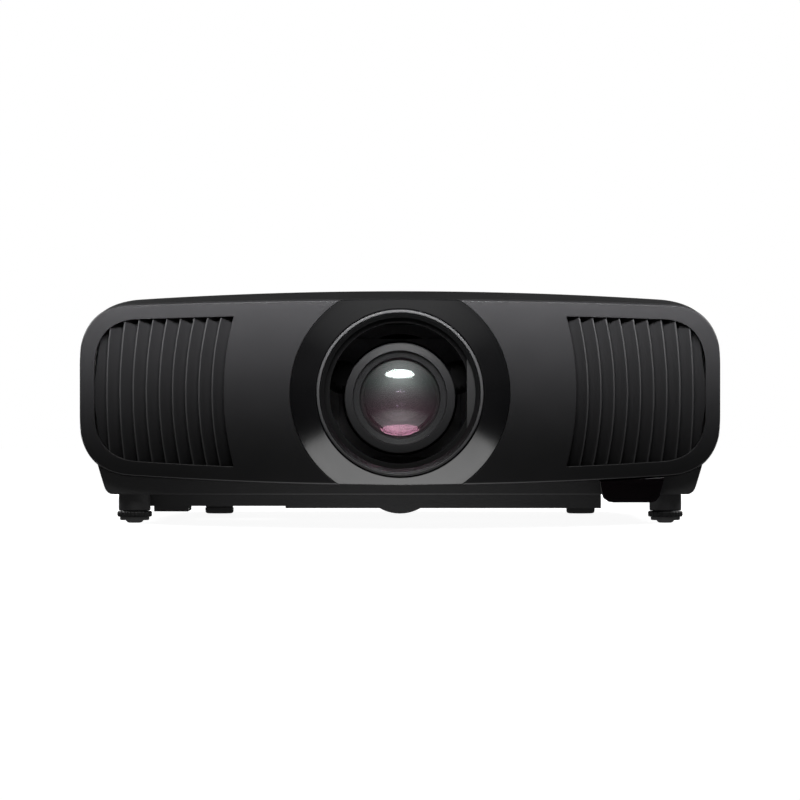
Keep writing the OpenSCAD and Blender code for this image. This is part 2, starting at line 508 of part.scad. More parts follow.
// Lens or mirror on a foot that stands on the tray.
module on_foot(x, y, a, w, d) translate([x, y, 83]) rotate([0, 0, a]) {
  translate([-d / 2, -w / 2, 0]) cube([d, w, 8]);
  children();
}
module light_optics() color([0.65, 0.7, 0.75, 0.5]) {
  prism_unit();
  for (p = [[-46, 6, -45], [132, 20, 45], [-46, 86, 45], [46, 86, -45], [0, 86, 45]])
    on_foot(p[0], p[1], p[2], 26, 6) translate([-0.8, -16, 7]) cube([1.6, 32, 32]);
  for (p = [[75, 86], [98, 86], [122, 86]]) on_foot(p[0], p[1], 0, 20, 8)
    translate([-2.5, 0, 23]) rotate([0, 90, 0]) cylinder(r = 17, h = 5);
  on_foot(0, 56, 90, 20, 8) translate([-2.5, 0, 23]) rotate([0, 90, 0]) cylinder(r = 15, h = 5);
  for (x = [-30, 32]) on_foot(x, 6, 0, 20, 6) translate([-2, 0, 23]) rotate([0, 90, 0]) cylinder(r = 14, h = 4);
}
module laser_module() color([0.35, 0.36, 0.38]) difference() {
  union() {
    translate([166, 44, 78]) cube([52, 68, 56]);
    translate([172, 50, 26.5]) cube([40, 56, 52]);
  }
  translate([160, 98, 118]) rotate([0, 90, 0]) cylinder(r = 8, h = 20);
}
module heat_sink() color([0.75, 0.75, 0.76]) {
  translate([164, 112, 62]) cube([56, 6, 84]);
  for (i = [0 : 13]) translate([164 + i * 4.2, 117.9, 62]) cube([1.4, 62, 84]);
}
module phosphor_wheel() color([0.85, 0.8, 0.3]) translate([0, 80, 90]) rotate([0, 90, 0]) {
  translate([0, 0, 152.6]) cylinder(r = 25, h = 1.2);
  translate([0, 0, 151.6]) cylinder(r = 8, h = 4);
  translate([0, 0, 155]) cylinder(r = 1.5, h = 8);
}
module small_motors() color([0.5, 0.5, 0.52]) {
  shutter_motor();
  phosphor_motor();
}
module phosphor_motor() translate([0, 80, 90]) rotate([0, 90, 0]) difference() {
  translate([0, 0, 156]) cylinder(r = 9, h = 10);
  translate([0, 0, 155]) cylinder(r = 1.55, h = 9);
}

// ---------- fans and boards ----------
fan_c = [[-186, -190, 106], [186, -190, 106]];
module fan_frame(s) difference() {
  union() {
    // bracket down to the case floor
    translate([s > 0 ? -40 : -6, 8, -79.5]) cube([46, 3, 34]);
    translate([s > 0 ? -40 : -6, 8, -79.5]) cube([46, 15, 2.5]);
    difference() {
      translate([-46, 0, -46]) cube([92, 25, 92]);
      translate([0, -1, 0]) rotate([-90, 0, 0]) cylinder(r = 43.6, h = 27);
    }
    translate([0, 22.6, 0]) rotate([-90, 0, 0]) cylinder(r = 19, h = 2.4);
    for (g = [0 : 90 : 270]) rotate([0, g + 20, 0]) translate([15, 22.6, -2]) cube([30, 2.4, 4]);
  }
  translate([0, 20, 0]) rotate([-90, 0, 0]) cylinder(r = 2.55, h = 3.6);
  for (x = [-40.5, 40.5]) for (z = [-40.5, 40.5]) translate([x, -1, z]) rotate([-90, 0, 0]) cylinder(r = 2.1, h = 30);
}
module fan_frames() color([0.08, 0.08, 0.085]) for (c = fan_c) translate(c) fan_frame(sign(c[0]));
module fan_rotor() {
  translate([0, 3, 0]) rotate([-90, 0, 0]) cylinder(r = 18.5, h = 18.6);
  translate([0, 3, 0]) rotate([-90, 0, 0]) cylinder(r = 2.5, h = 20.4);
  intersection() {
    for (i = [0 : 6]) rotate([0, i * 360 / 7, 0]) translate([16, 11.5, 0]) rotate([38, 0, 0]) translate([0, -0.9, -11]) cube([28, 1.8, 22]);
    translate([0, 2, 0]) rotate([-90, 0, 0]) cylinder(r = 42.4, h = 18.8);
  }
}
module intake_fan_rotor() color([0.1, 0.1, 0.105]) translate(fan_c[0]) fan_rotor();
module exhaust_fan_rotor() color([0.1, 0.1, 0.105]) translate(fan_c[1]) fan_rotor();
module power_board() color([0.1, 0.35, 0.18]) {
  translate([-222, -140, 34]) cube([84, 200, 1.6]);
  for (x = [-218, -142]) for (y = [-136, 56]) translate([x, y, 26.5]) cylinder(r = 3, h = 7.6);
  translate([-214, -126, 35.5]) cube([34, 30, 26]);
  translate([-170, -120, 35.5]) cube([26, 34, 30]);
  for (y = [-70, -46, -22]) translate([-205, y, 35.5]) cylinder(r = 9, h = 34);
  translate([-184, -74, 35.5]) cube([3, 70, 36]);
  translate([-172, -60, 35.5]) cube([28, 40, 22]);
  for (y = [12, 32]) translate([-200, y, 35.5]) cylinder(r = 7, h = 22);
  translate([-180, 10, 35.5]) cube([34, 30, 16]);
}
module main_board() color([0.08, 0.3, 0.16]) {
  translate([-150, 122, 59.9]) cube([212, 72, 1.6]);
  for (x = [-145, 57]) for (y = [127, 189]) translate([x, y, 26.5]) cylinder(r = 3, h = 33.5);
  translate([-60, 130, 61.4]) cube([40, 40, 3]);
  for (i = [0 : 7]) translate([-60 + i * 5.4, 130, 64.3]) cube([2, 40, 10]);
  for (p = [[-110, 132], [-110, 152], [-90, 132], [0, 135], [22, 135], [0, 155]]) translate([p[0], p[1], 61.4]) cube([14, 12, 2]);
  for (x = [-140, -128, 44]) translate([x, 140, 61.4]) cylinder(r = 4, h = 9);
}
module socket(x, w, h, d, t = 1) translate([x - w / 2, 203 - d, 61.5]) difference() {
  cube([w, d + 0.9, h]);
  translate([t, 3, t]) cube([w - 2 * t, d, h - 2 * t]);
}
module signal_sockets() color([0.6, 0.6, 0.62]) {
  for (x = [-118, -94]) { socket(x, 15.2, 6.4, 12, 0.7); translate([x - 5.6, 193, 64.1]) cube([11.2, 7, 1.2]); }
  for (x = [-70, -50]) { socket(x, 13.4, 7.2, 14, 0.6); translate([x - 5.4, 191, 65.5]) cube([10.8, 8.5, 1.8]); }
  socket(-26, 15.8, 13, 16, 1.6);
  socket(6.3, 30.8, 12, 10, 1.6);
  for (i = [0 : 4]) translate([6.3 + (i - 2) * 4, 195, 69.2]) rotate([-90, 0, 0]) cylinder(r = 0.6, h = 4.8);
  for (i = [0 : 3]) translate([6.3 + (i - 1.5) * 4, 195, 65.8]) rotate([-90, 0, 0]) cylinder(r = 0.6, h = 4.8);
  for (x = [35, 49]) difference() {
    union() {
      translate([x - 4.5, 190, 61.5]) cube([9, 11.4, 9]);
      translate([x, 200, 66]) rotate([-90, 0, 0]) cylinder(r = 3.9, h = 4.2);
    }
    translate([x, 192, 66]) rotate([-90, 0, 0]) cylinder(r = 1.8, h = 14);
  }
}
module power_inlet() color([0.05, 0.05, 0.055]) {
  difference() {
    translate([106, 182, 52]) cube([28, 22.8, 20]);
    translate([108, 188, 54]) cube([24, 20, 16]);
  }
  for (p = [[-7, -2], [0, 2], [7, -2]]) translate([120 + p[0] - 1, 187, 62 + p[1] - 2]) cube([2, 11.5, 4]);
}
// ---------- control keys on the rear panel ----------
kx = -180;
kz = 112;
keys = [["power", -17, 38, 6], ["menu", 17, 36, 4.6], ["escape", 17, -32, 4.6]];
module control_bezel() color([0.13, 0.13, 0.14]) {
  bezel_plate();
  // light pipes
  for (i = [0 : 2]) translate([kx - 22 + i * 7, 0, kz - 32]) rotate([-90, 0, 0]) translate([0, 0, 195]) cylinder(r = 1.5, h = 10.9);
}
module bezel_plate() difference() {
  translate([kx, 205.8, kz]) rotate([90, 0, 0]) linear_extrude(height = 1.8)
    polygon([for (p = [[30, 52], [-30, 52], [-30, -44], [30, -44]]) for (i = [0 : 5]) let (g = i * 18 + (p[0] > 0 ? (p[1] > 0 ? 0 : 270) : (p[1] > 0 ? 90 : 180)))
      [p[0] - sign(p[0]) * 8 + 8 * cos(g), p[1] - sign(p[1]) * 8 + 8 * sin(g)]]);
  for (k = keys) translate([kx + k[1], 199, kz + k[2]]) rotate([-90, 0, 0]) cylinder(r = k[3] + 0.3, h = 9);
  translate([kx, 199, kz]) rotate([-90, 0, 0]) cylinder(r = 17.4, h = 9);
  for (i = [0 : 2]) translate([kx - 22 + i * 7, 199, kz - 32]) rotate([-90, 0, 0]) cylinder(r = 1.6, h = 9);
}
// Small board behind the keys, with a switch under each key.
module key_board() color([0.1, 0.35, 0.18]) difference() {
  union() {
    translate([kx - 28, 193.4, kz - 40]) cube([56, 1.6, 88]);
    for (k = concat(keys, [["e", 0, 0], ["u", 0, 12], ["d", 0, -12], ["l", -12, 0], ["r", 12, 0]])) {
      translate([kx + k[1] - 3, 194.9, kz + k[2] - 3]) cube([6, 3.4, 6]);
      translate([kx + k[1], 198, kz + k[2]]) rotate([-90, 0, 0]) cylinder(r = 1.6, h = 1.4);
    }
    for (x = [-24, 24]) for (z = [-24, 24]) translate([kx + x, 194.9, kz + z]) rotate([-90, 0, 0]) cylinder(r = 3, h = 6.7);
  }
  for (x = [-24, 24]) for (z = [-24, 24]) translate([kx + x, 190, kz + z]) rotate([-90, 0, 0]) cylinder(r = 1.3, h = 9);
}
module round_key(i) translate([kx + keys[i][1], 200.1, kz + keys[i][2]]) rotate([-90, 0, 0]) {
  cylinder(r = keys[i][3], h = 6.6);
  translate([0, 0, 6.5]) cylinder(r1 = keys[i][3], r2 = keys[i][3] - 0.6, h = 0.6);
}
module key_power() color([0.2, 0.2, 0.21]) round_key(0);
module key_menu() color([0.2, 0.2, 0.21]) round_key(1);
module key_escape() color([0.2, 0.2, 0.21]) round_key(2);
module key_enter() color([0.2, 0.2, 0.21]) translate([kx, 200.1, kz]) rotate([-90, 0, 0]) {
  cylinder(r = 7.2, h = 6.6);
  translate([0, 0, 6.5]) cylinder(r1 = 7.2, r2 = 6.6, h = 0.6);
}
module nav_key(g) translate([kx, 200.1, kz]) rotate([0, g, 0]) rotate([-90, 0, 0])
  rotate([0, 0, -41]) rotate_extrude(angle = 82) polygon([[8, 0], [17, 0], [17, 6.2], [16.4, 6.8], [8.6, 6.8], [8, 6.2]]);
module key_right() color([0.2, 0.2, 0.21]) nav_key(0);
module key_down() color([0.2, 0.2, 0.21]) nav_key(90);
module key_left() color([0.2, 0.2, 0.21]) nav_key(180);
module key_up() color([0.2, 0.2, 0.21]) nav_key(270);

top_cover();
lower_case();
front_panel();
grille(-1);  // grille_left
grille(1);  // grille_right
lens_surround();
lens_ring();
ir_window();
shutter_frame();
shutter_leaf_front();
shutter_leaf_rear();
shutter_pinion();
lens_shroud();
lens_front_cell();
front_element();
focus_ring();
zoom_ring();
lens_barrel();
rear_elements();
focus_pinion();
zoom_pinion();
lens_motors();
shift_base();
shift_x_carriage();
shift_z_carriage();
shift_screw_x();
shift_screw_z();
optics_housing();
light_optics();
laser_module();
heat_sink();
phosphor_wheel();
small_motors();
fan_frames();
intake_fan_rotor();
exhaust_fan_rotor();
power_board();
main_board();
rear_panel();
signal_sockets();
power_inlet();
control_bezel();
key_board();
key_power();
key_menu();
key_escape();
key_enter();
key_up();
key_down();
key_left();
key_right();
base_plinth();
filter_tray();
air_filter();
foot_pad(-1);  // foot_pad_left
foot_pad(1);  // foot_pad_right
foot_screw(-1);  // foot_screw_left
foot_screw(1);  // foot_screw_right
rear_feet();
screws();
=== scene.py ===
import bpy
import bmesh
import json
import math
import numpy as np
from mathutils import Vector, geometry
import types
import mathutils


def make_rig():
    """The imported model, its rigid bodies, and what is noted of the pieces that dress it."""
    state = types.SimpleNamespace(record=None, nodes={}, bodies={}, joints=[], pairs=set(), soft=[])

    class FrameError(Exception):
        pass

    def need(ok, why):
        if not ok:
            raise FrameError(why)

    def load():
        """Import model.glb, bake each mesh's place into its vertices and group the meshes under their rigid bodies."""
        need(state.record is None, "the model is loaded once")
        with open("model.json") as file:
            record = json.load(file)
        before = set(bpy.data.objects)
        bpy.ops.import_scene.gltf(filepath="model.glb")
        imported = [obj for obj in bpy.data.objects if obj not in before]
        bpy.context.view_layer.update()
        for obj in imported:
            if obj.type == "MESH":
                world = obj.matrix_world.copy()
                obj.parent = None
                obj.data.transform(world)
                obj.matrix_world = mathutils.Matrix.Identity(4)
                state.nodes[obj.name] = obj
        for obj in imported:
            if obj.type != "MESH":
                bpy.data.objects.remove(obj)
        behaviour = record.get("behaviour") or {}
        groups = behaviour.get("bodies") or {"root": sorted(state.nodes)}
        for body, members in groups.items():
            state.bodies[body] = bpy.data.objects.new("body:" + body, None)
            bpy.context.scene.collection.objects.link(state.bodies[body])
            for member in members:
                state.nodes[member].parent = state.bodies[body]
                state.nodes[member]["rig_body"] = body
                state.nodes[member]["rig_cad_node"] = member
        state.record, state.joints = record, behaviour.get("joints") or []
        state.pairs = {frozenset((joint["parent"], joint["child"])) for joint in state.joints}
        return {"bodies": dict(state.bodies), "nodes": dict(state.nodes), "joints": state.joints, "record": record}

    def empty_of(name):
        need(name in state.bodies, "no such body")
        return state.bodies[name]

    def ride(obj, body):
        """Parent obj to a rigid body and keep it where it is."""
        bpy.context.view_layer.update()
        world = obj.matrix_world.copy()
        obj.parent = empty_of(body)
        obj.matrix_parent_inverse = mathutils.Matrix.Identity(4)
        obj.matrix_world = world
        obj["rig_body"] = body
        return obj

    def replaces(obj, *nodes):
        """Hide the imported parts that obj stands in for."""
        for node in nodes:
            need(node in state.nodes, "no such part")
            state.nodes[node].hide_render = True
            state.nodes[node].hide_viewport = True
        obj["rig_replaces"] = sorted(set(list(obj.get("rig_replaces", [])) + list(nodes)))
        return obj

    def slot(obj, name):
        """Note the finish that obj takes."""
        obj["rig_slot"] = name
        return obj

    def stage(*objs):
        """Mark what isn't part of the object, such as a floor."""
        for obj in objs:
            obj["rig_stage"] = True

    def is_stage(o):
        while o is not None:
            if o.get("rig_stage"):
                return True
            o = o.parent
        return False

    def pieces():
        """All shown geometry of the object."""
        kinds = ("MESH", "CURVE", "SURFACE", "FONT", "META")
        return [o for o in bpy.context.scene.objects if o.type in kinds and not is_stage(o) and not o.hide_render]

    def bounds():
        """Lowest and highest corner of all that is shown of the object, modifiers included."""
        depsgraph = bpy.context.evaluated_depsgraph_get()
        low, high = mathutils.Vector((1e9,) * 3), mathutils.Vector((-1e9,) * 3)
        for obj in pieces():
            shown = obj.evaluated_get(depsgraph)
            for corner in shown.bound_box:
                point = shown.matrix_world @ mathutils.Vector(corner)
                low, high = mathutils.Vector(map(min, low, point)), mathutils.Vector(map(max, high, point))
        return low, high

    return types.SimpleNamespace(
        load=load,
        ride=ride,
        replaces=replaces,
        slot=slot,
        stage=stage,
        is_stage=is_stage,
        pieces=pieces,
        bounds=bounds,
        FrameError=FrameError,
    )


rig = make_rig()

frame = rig.load()
cad_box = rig.bounds()
nodes = frame["nodes"]

MM = 0.001
ZC = 106.0            # height of the panel's and ring's centre
ZL = 102.0            # height of the lens axis
YF0 = -224.02
AW = 260.0
YB = -198.0
RR = 89.4             # recess radius
X = np.array

# ------------------------------------------------------------------ materials


def new_mat(name):
    m = bpy.data.materials.new(name)
    m.use_nodes = True
    nt = m.node_tree
    nt.nodes.clear()
    out = nt.nodes.new("ShaderNodeOutputMaterial")
    return m, nt, out


def moulded(name, base, rough, metallic=0.0, ior=1.46, grain=0.35, bump=0.12, vary=0.12, rvary=0.06,
            coat=0.0, coat_rough=0.1, spec=0.5, brushed=None, speck=None, sheen=0.0, blotch=40.0, tint=None):
    """Moulded, painted or machined surface: fine grain in the bump, slow change of colour and gloss.
    grain is the size of the grain in mm, brushed an axis along which it is stretched."""
    m, nt, out = new_mat(name)
    N, L = nt.nodes, nt.links
    p = N.new("ShaderNodeBsdfPrincipled")
    L.new(p.outputs[0], out.inputs[0])
    tc = N.new("ShaderNodeTexCoord")
    p.inputs["Metallic"].default_value = metallic
    p.inputs["IOR"].default_value = ior
    p.inputs["Specular IOR Level"].default_value = spec
    p.inputs["Coat Weight"].default_value = coat
    p.inputs["Coat Roughness"].default_value = coat_rough
    p.inputs["Sheen Weight"].default_value = sheen
    mp = N.new("ShaderNodeMapping")
    L.new(tc.outputs["Object"], mp.inputs["Vector"])
    s = 1000.0 / grain
    sc = [s, s, s]
    if brushed is not None:
        for i in range(3):
            sc[i] = s * (0.02 if i == brushed else 1.0)
    mp.inputs["Scale"].default_value = sc
    fine = N.new("ShaderNodeTexNoise")
    fine.inputs["Scale"].default_value = 1.0
    fine.inputs["Detail"].default_value = 3.0
    fine.inputs["Roughness"].default_value = 0.6
    L.new(mp.outputs[0], fine.inputs["Vector"])
    cell = N.new("ShaderNodeTexVoronoi")
    cell.feature = "SMOOTH_F1"
    cell.inputs["Scale"].default_value = 0.55
    L.new(mp.outputs[0], cell.inputs["Vector"])
    addh = N.new("ShaderNodeMath")
    addh.operation = "ADD"
    L.new(fine.outputs["Fac"], addh.inputs[0])
    L.new(cell.outputs["Distance"], addh.inputs[1])
    b = N.new("ShaderNodeBump")
    b.inputs["Strength"].default_value = bump
    b.inputs["Distance"].default_value = grain * MM * 0.5
    L.new(addh.outputs[0], b.inputs["Height"])
    L.new(b.outputs[0], p.inputs["Normal"])
    slow = N.new("ShaderNodeTexNoise")
    slow.inputs["Scale"].default_value = blotch
    slow.inputs["Detail"].default_value = 4.0
    L.new(tc.outputs["Object"], slow.inputs["Vector"])
    ramp = N.new("ShaderNodeValToRGB")
    lo = [c * (1 - vary) for c in base]
    hi = [min(1.0, c * (1 + vary)) for c in (base if tint is None else tint)]
    ramp.color_ramp.elements[0].position = 0.3
    ramp.color_ramp.elements[1].position = 0.7
    ramp.color_ramp.elements[0].color = (*lo, 1)
    ramp.color_ramp.elements[1].color = (*hi, 1)
    mixf = N.new("ShaderNodeMath")
    mixf.operation = "MULTIPLY_ADD"
    mixf.inputs[1].default_value = 0.45
    L.new(fine.outputs["Fac"], mixf.inputs[0])
    half = N.new("ShaderNodeMath")
    half.operation = "MULTIPLY"
    half.inputs[1].default_value = 0.55
    L.new(slow.outputs["Fac"], half.inputs[0])
    L.new(half.outputs[0], mixf.inputs[2])
    L.new(mixf.outputs[0], ramp.inputs["Fac"])
    col = ramp.outputs["Color"]
    if speck:
        v = N.new("ShaderNodeTexNoise")
        v.inputs["Scale"].default_value = 1000.0 / speck[0]
        v.inputs["Detail"].default_value = 1.0
        L.new(tc.outputs["Object"], v.inputs["Vector"])
        r2 = N.new("ShaderNodeValToRGB")
        r2.color_ramp.elements[0].position = speck[1]
        r2.color_ramp.elements[1].position = min(1.0, speck[1] + 0.05)
        L.new(v.outputs["Fac"], r2.inputs["Fac"])
        mx = N.new("ShaderNodeMix")
        mx.data_type = "RGBA"
        L.new(r2.outputs["Color"], mx.inputs[0])
        L.new(col, mx.inputs[6])
        mx.inputs[7].default_value = (*speck[2], 1)
        col = mx.outputs[2]
    L.new(col, p.inputs["Base Color"])
    rr = N.new("ShaderNodeMapRange")
    rr.inputs["To Min"].default_value = max(0.02, rough - rvary)
    rr.inputs["To Max"].default_value = min(1.0, rough + rvary)
    L.new(slow.outputs["Fac"], rr.inputs["Value"])
    L.new(rr.outputs[0], p.inputs["Roughness"])
    return m


def glass_mat(name, tint, refl, rough=0.02, clear=0.9, f0=0.02, edge=0.5, haze=0.0, low=None):
    """Coated optical glass: clear, with a tinted mirror image that grows towards grazing angles. With haze, a rough
    second reflection is mixed in whose colour is painted by height: low below the lens axis, refl above it.
    """
    m, nt, out = new_mat(name)
    N, L = nt.nodes, nt.links
    tr = N.new("ShaderNodeBsdfTransparent")
    tr.inputs["Color"].default_value = (tint[0] * clear, tint[1] * clear, tint[2] * clear, 1)
    gl = N.new("ShaderNodeBsdfGlossy")
    gl.inputs["Roughness"].default_value = rough
    tc = N.new("ShaderNodeTexCoord")
    no = N.new("ShaderNodeTexNoise")
    no.inputs["Scale"].default_value = 60.0
    L.new(tc.outputs["Object"], no.inputs["Vector"])
    ramp = N.new("ShaderNodeValToRGB")
    ramp.color_ramp.elements[0].color = (*[c * 0.93 for c in refl], 1)
    ramp.color_ramp.elements[1].color = (*refl, 1)
    L.new(no.outputs["Fac"], ramp.inputs["Fac"])
    L.new(ramp.outputs["Color"], gl.inputs["Color"])
    refl_out = gl.outputs[0]
    if haze:
        hz = N.new("ShaderNodeBsdfGlossy")
        hz.inputs["Roughness"].default_value = 0.52
        # Painted reflection tint: the haze reflection's colour runs from low below the lens axis to refl above it, set
        # by height in the glass.
        sx = N.new("ShaderNodeSeparateXYZ")
        L.new(tc.outputs["Object"], sx.inputs[0])
        painted_tint_height = N.new("ShaderNodeMapRange")
        painted_tint_height.inputs["From Min"].default_value = (ZL - 16.0) * MM
        painted_tint_height.inputs["From Max"].default_value = (ZL + 12.0) * MM
        L.new(sx.outputs["Z"], painted_tint_height.inputs["Value"])
        painted_reflection_tint = N.new("ShaderNodeValToRGB")
        painted_reflection_tint.color_ramp.elements[0].color = (*(low or refl), 1)
        painted_reflection_tint.color_ramp.elements[1].color = (*refl, 1)
        L.new(painted_tint_height.outputs[0], painted_reflection_tint.inputs["Fac"])
        L.new(painted_reflection_tint.outputs["Color"], hz.inputs["Color"])
        hm = N.new("ShaderNodeMixShader")
        hm.inputs[0].default_value = haze
        L.new(gl.outputs[0], hm.inputs[1])
        L.new(hz.outputs[0], hm.inputs[2])
        refl_out = hm.outputs[0]
    lw = N.new("ShaderNodeLayerWeight")
    lw.inputs["Blend"].default_value = 0.35
    mr = N.new("ShaderNodeMapRange")
    mr.inputs["To Min"].default_value = f0
    mr.inputs["To Max"].default_value = edge
    L.new(lw.outputs["Facing"], mr.inputs["Value"])
    mx = N.new("ShaderNodeMixShader")
    L.new(mr.outputs[0], mx.inputs[0])
    L.new(tr.outputs[0], mx.inputs[1])
    L.new(refl_out, mx.inputs[2])
    L.new(mx.outputs[0], out.inputs[0])
    return m


M = {}
M["panel"] = moulded("panel_satin", (0.0108, 0.0107, 0.0113), 0.38, grain=0.30, bump=0.025, vary=0.06, rvary=0.03, spec=0.22)
# brighter copy of the panel plastic, used only on the lower bevel: painted highlight along the bottom edge
M["panel_edge"] = moulded("panel_edge_satin", (0.046, 0.046, 0.047), 0.34, grain=0.30, bump=0.08, vary=0.05, rvary=0.03, spec=0.5)
M["slat"] = moulded("slat_satin", (0.0098, 0.0097, 0.0102), 0.40, grain=0.30, bump=0.025, vary=0.06, rvary=0.03, spec=0.35)
# brighter copy of the slat plastic for the slat noses: painted highlight
M["slat_edge"] = moulded("slat_edge_satin", (0.021, 0.021, 0.0217), 0.36, grain=0.30, bump=0.025, vary=0.06, rvary=0.03, spec=0.5)
# lighter copy for the ring's front lip, which the dark anodised ring would not show: painted highlight line
M["lip"] = moulded("ring_lip_satin", (0.030, 0.030, 0.031), 0.34, grain=0.25, bump=0.05, vary=0.06, rvary=0.03, spec=0.7)
M["shell"] = moulded("shell_textured", (0.0240, 0.0238, 0.0248), 0.50, grain=0.55, bump=0.28, vary=0.10, rvary=0.05, spec=0.5)
# a much darker copy of the shell plastic with the same grain, for the top cover: painted shade standing in for the dim
# top
M["cover"] = moulded("cover_textured_painted_shade", (0.0022, 0.0022, 0.0023), 0.58, grain=0.55, bump=0.28, vary=0.10, rvary=0.05, spec=0.25)
M["gloss"] = moulded("surround_gloss", (0.0025, 0.0025, 0.0027), 0.20, grain=0.8, bump=0.015, vary=0.15, rvary=0.03, spec=0.5)
M["window"] = moulded("window_gloss", (0.0022, 0.0008, 0.0016), 0.10, grain=1.0, bump=0.004, vary=0.2, rvary=0.015, coat=0.3, coat_rough=0.03, tint=(0.003, 0.001, 0.002))
M["ring"] = moulded("ring_anodised", (0.036, 0.036, 0.0375), 0.26, metallic=0.9, grain=0.25, bump=0.05, vary=0.06, rvary=0.03)
M["dark"] = moulded("matt_coating", (0.0015, 0.0015, 0.0016), 0.65, grain=0.4, bump=0.15, vary=0.15, rvary=0.05, spec=0.2)
M["leaf"] = moulded("leaf_coating", (0.010, 0.010, 0.0103), 0.50, metallic=0.0, grain=0.3, bump=0.025, vary=0.08, brushed=2)
M["cell"] = moulded("cell_anodised", (0.0095, 0.0095, 0.0099), 0.42, metallic=0.0, grain=0.28, bump=0.06, vary=0.05, rvary=0.03, spec=0.20)
M["cell_dark"] = moulded("cell_inner_black", (0.004, 0.004, 0.0042), 0.5, metallic=0.0, grain=0.3, bump=0.08, vary=0.08)
M["steel"] = moulded("plain_steel", (0.42, 0.42, 0.43), 0.30, metallic=1.0, grain=0.2, bump=0.05, vary=0.08, brushed=0)
M["plate"] = moulded("plated_steel", (0.50, 0.50, 0.51), 0.26, metallic=1.0, grain=0.3, bump=0.04, vary=0.06)
M["screw"] = moulded("black_zinc", (0.06, 0.06, 0.062), 0.35, metallic=0.9, grain=0.2, bump=0.06, vary=0.1)
M["alloy"] = moulded("die_cast_alloy", (0.46, 0.46, 0.47), 0.42, metallic=1.0, grain=0.7, bump=0.22, vary=0.10)
M["fin"] = moulded("extruded_fins", (0.55, 0.55, 0.56), 0.33, metallic=1.0, grain=0.4, bump=0.10, vary=0.07, brushed=2)
M["gear"] = moulded("black_acetal", (0.0015, 0.0015, 0.0016), 0.6, grain=0.5, bump=0.05, vary=0.05, spec=0.2)
M["board"] = moulded("solder_mask", (0.012, 0.075, 0.030), 0.32, grain=0.3, bump=0.10, vary=0.2, speck=(1.6, 0.66, (0.45, 0.42, 0.22)), blotch=90.0)
M["phosphor"] = moulded("phosphor_layer", (0.75, 0.62, 0.12), 0.7, grain=0.3, bump=0.2, vary=0.1, blotch=120.0)
M["paper"] = moulded("filter_paper", (0.55, 0.57, 0.55), 0.9, grain=0.9, bump=0.5, vary=0.08, sheen=0.2)
M["key"] = moulded("key_soft", (0.030, 0.030, 0.031), 0.55, grain=0.35, bump=0.10, vary=0.06)
M["black"] = moulded("black_moulding", (0.012, 0.012, 0.0125), 0.48, grain=0.45, bump=0.15, vary=0.12)
M["rear"] = moulded("rear_textured", (0.016, 0.016, 0.0165), 0.55, grain=0.6, bump=0.30, vary=0.08)
M["rubber"] = moulded("foot_rubber", (0.046, 0.046, 0.0464), 0.70, grain=0.5, bump=0.25, vary=0.1, spec=0.4)
M["socket"] = moulded("socket_black", (0.009, 0.009, 0.009), 0.42, grain=0.4, bump=0.06, vary=0.1)
M["gold"] = moulded("gold_contacts", (0.75, 0.52, 0.18), 0.22, metallic=1.0, grain=0.2, bump=0.02, vary=0.05)
M["lightpipe"] = moulded("light_pipe", (0.10, 0.16, 0.20), 0.2, grain=0.5, bump=0.01, vary=0.1)
# front and second glass: low is the painted tint of the haze reflection in the lower part of the glass
M["front_glass"] = glass_mat("front_glass_green", (0.97, 1.0, 0.97), (0.86, 0.98, 0.94), rough=0.06, clear=0.97, f0=0.20, edge=0.34, haze=0.55, low=(0.95, 0.50, 0.66))
M["pink_glass"] = glass_mat("back_face_pink", (0.99, 0.94, 0.97), (1.0, 0.42, 0.66), rough=0.08, clear=0.98, f0=0.048, edge=0.12)
M["spot_glass"] = glass_mat("inner_back_face", (0.9, 0.85, 0.85), (1.0, 0.84, 0.84), rough=0.12, clear=0.5, f0=0.6, edge=0.7)
M["second_glass"] = glass_mat("second_glass_magenta", (0.97, 0.90, 0.94), (0.88, 0.97, 0.92), rough=0.09, clear=0.96, f0=0.20, edge=0.30, haze=0.4, low=(0.9, 0.6, 0.7))
M["third_glass"] = glass_mat("third_glass_warm", (0.98, 0.96, 0.92), (1.0, 0.96, 0.92), rough=0.10, clear=0.9, f0=0.42, edge=0.6, haze=0.35)
M["optic"] = glass_mat("inner_optics", (0.9, 0.96, 1.0), (0.8, 0.85, 1.0), clear=0.85, f0=0.06, edge=0.5)

# ------------------------------------------------------------------ mesh tools


def build(name, verts, faces, mat, body, replaces=(), slot=None, sharp=40.0, weighted=True, bevel=None, fix=True, mats=None, mat_index=None):
    me = bpy.data.meshes.new(name)
    v = np.asarray(verts, float) * MM
    me.from_pydata([tuple(p) for p in v], [], [tuple(int(i) for i in f) for f in faces])
    me.update()
    for mm in (mats or [mat]):
        me.materials.append(mm)
    if mat_index is not None:
        me.polygons.foreach_set("material_index", [int(i) for i in mat_index])
    bm = bmesh.new()
    bm.from_mesh(me)
    bmesh.ops.remove_doubles(bm, verts=bm.verts, dist=1e-6)
    if fix:
        bmesh.ops.recalc_face_normals(bm, faces=bm.faces)
    lim = math.radians(sharp)
    for e in bm.edges:
        if len(e.link_faces) == 2:
            try:
                e.smooth = e.calc_face_angle() < lim
            except ValueError:
                e.smooth = True
    for f in bm.faces:
        f.smooth = True
    bm.to_mesh(me)
    bm.free()
    o = bpy.data.objects.new(name, me)
    bpy.context.scene.collection.objects.link(o)
    if bevel:
        b = o.modifiers.new("bevel", "BEVEL")
        b.width = bevel * MM
        b.segments = 3
        b.limit_method = "ANGLE"
        b.angle_limit = math.radians(35)
        b.harden_normals = False
    if weighted:
        w = o.modifiers.new("normals", "WEIGHTED_NORMAL")
        w.keep_sharp = True
        w.weight = 50
    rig.ride(o, body)
    if replaces:
        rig.replaces(o, *replaces)
    if slot:
        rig.slot(o, slot)
    return o


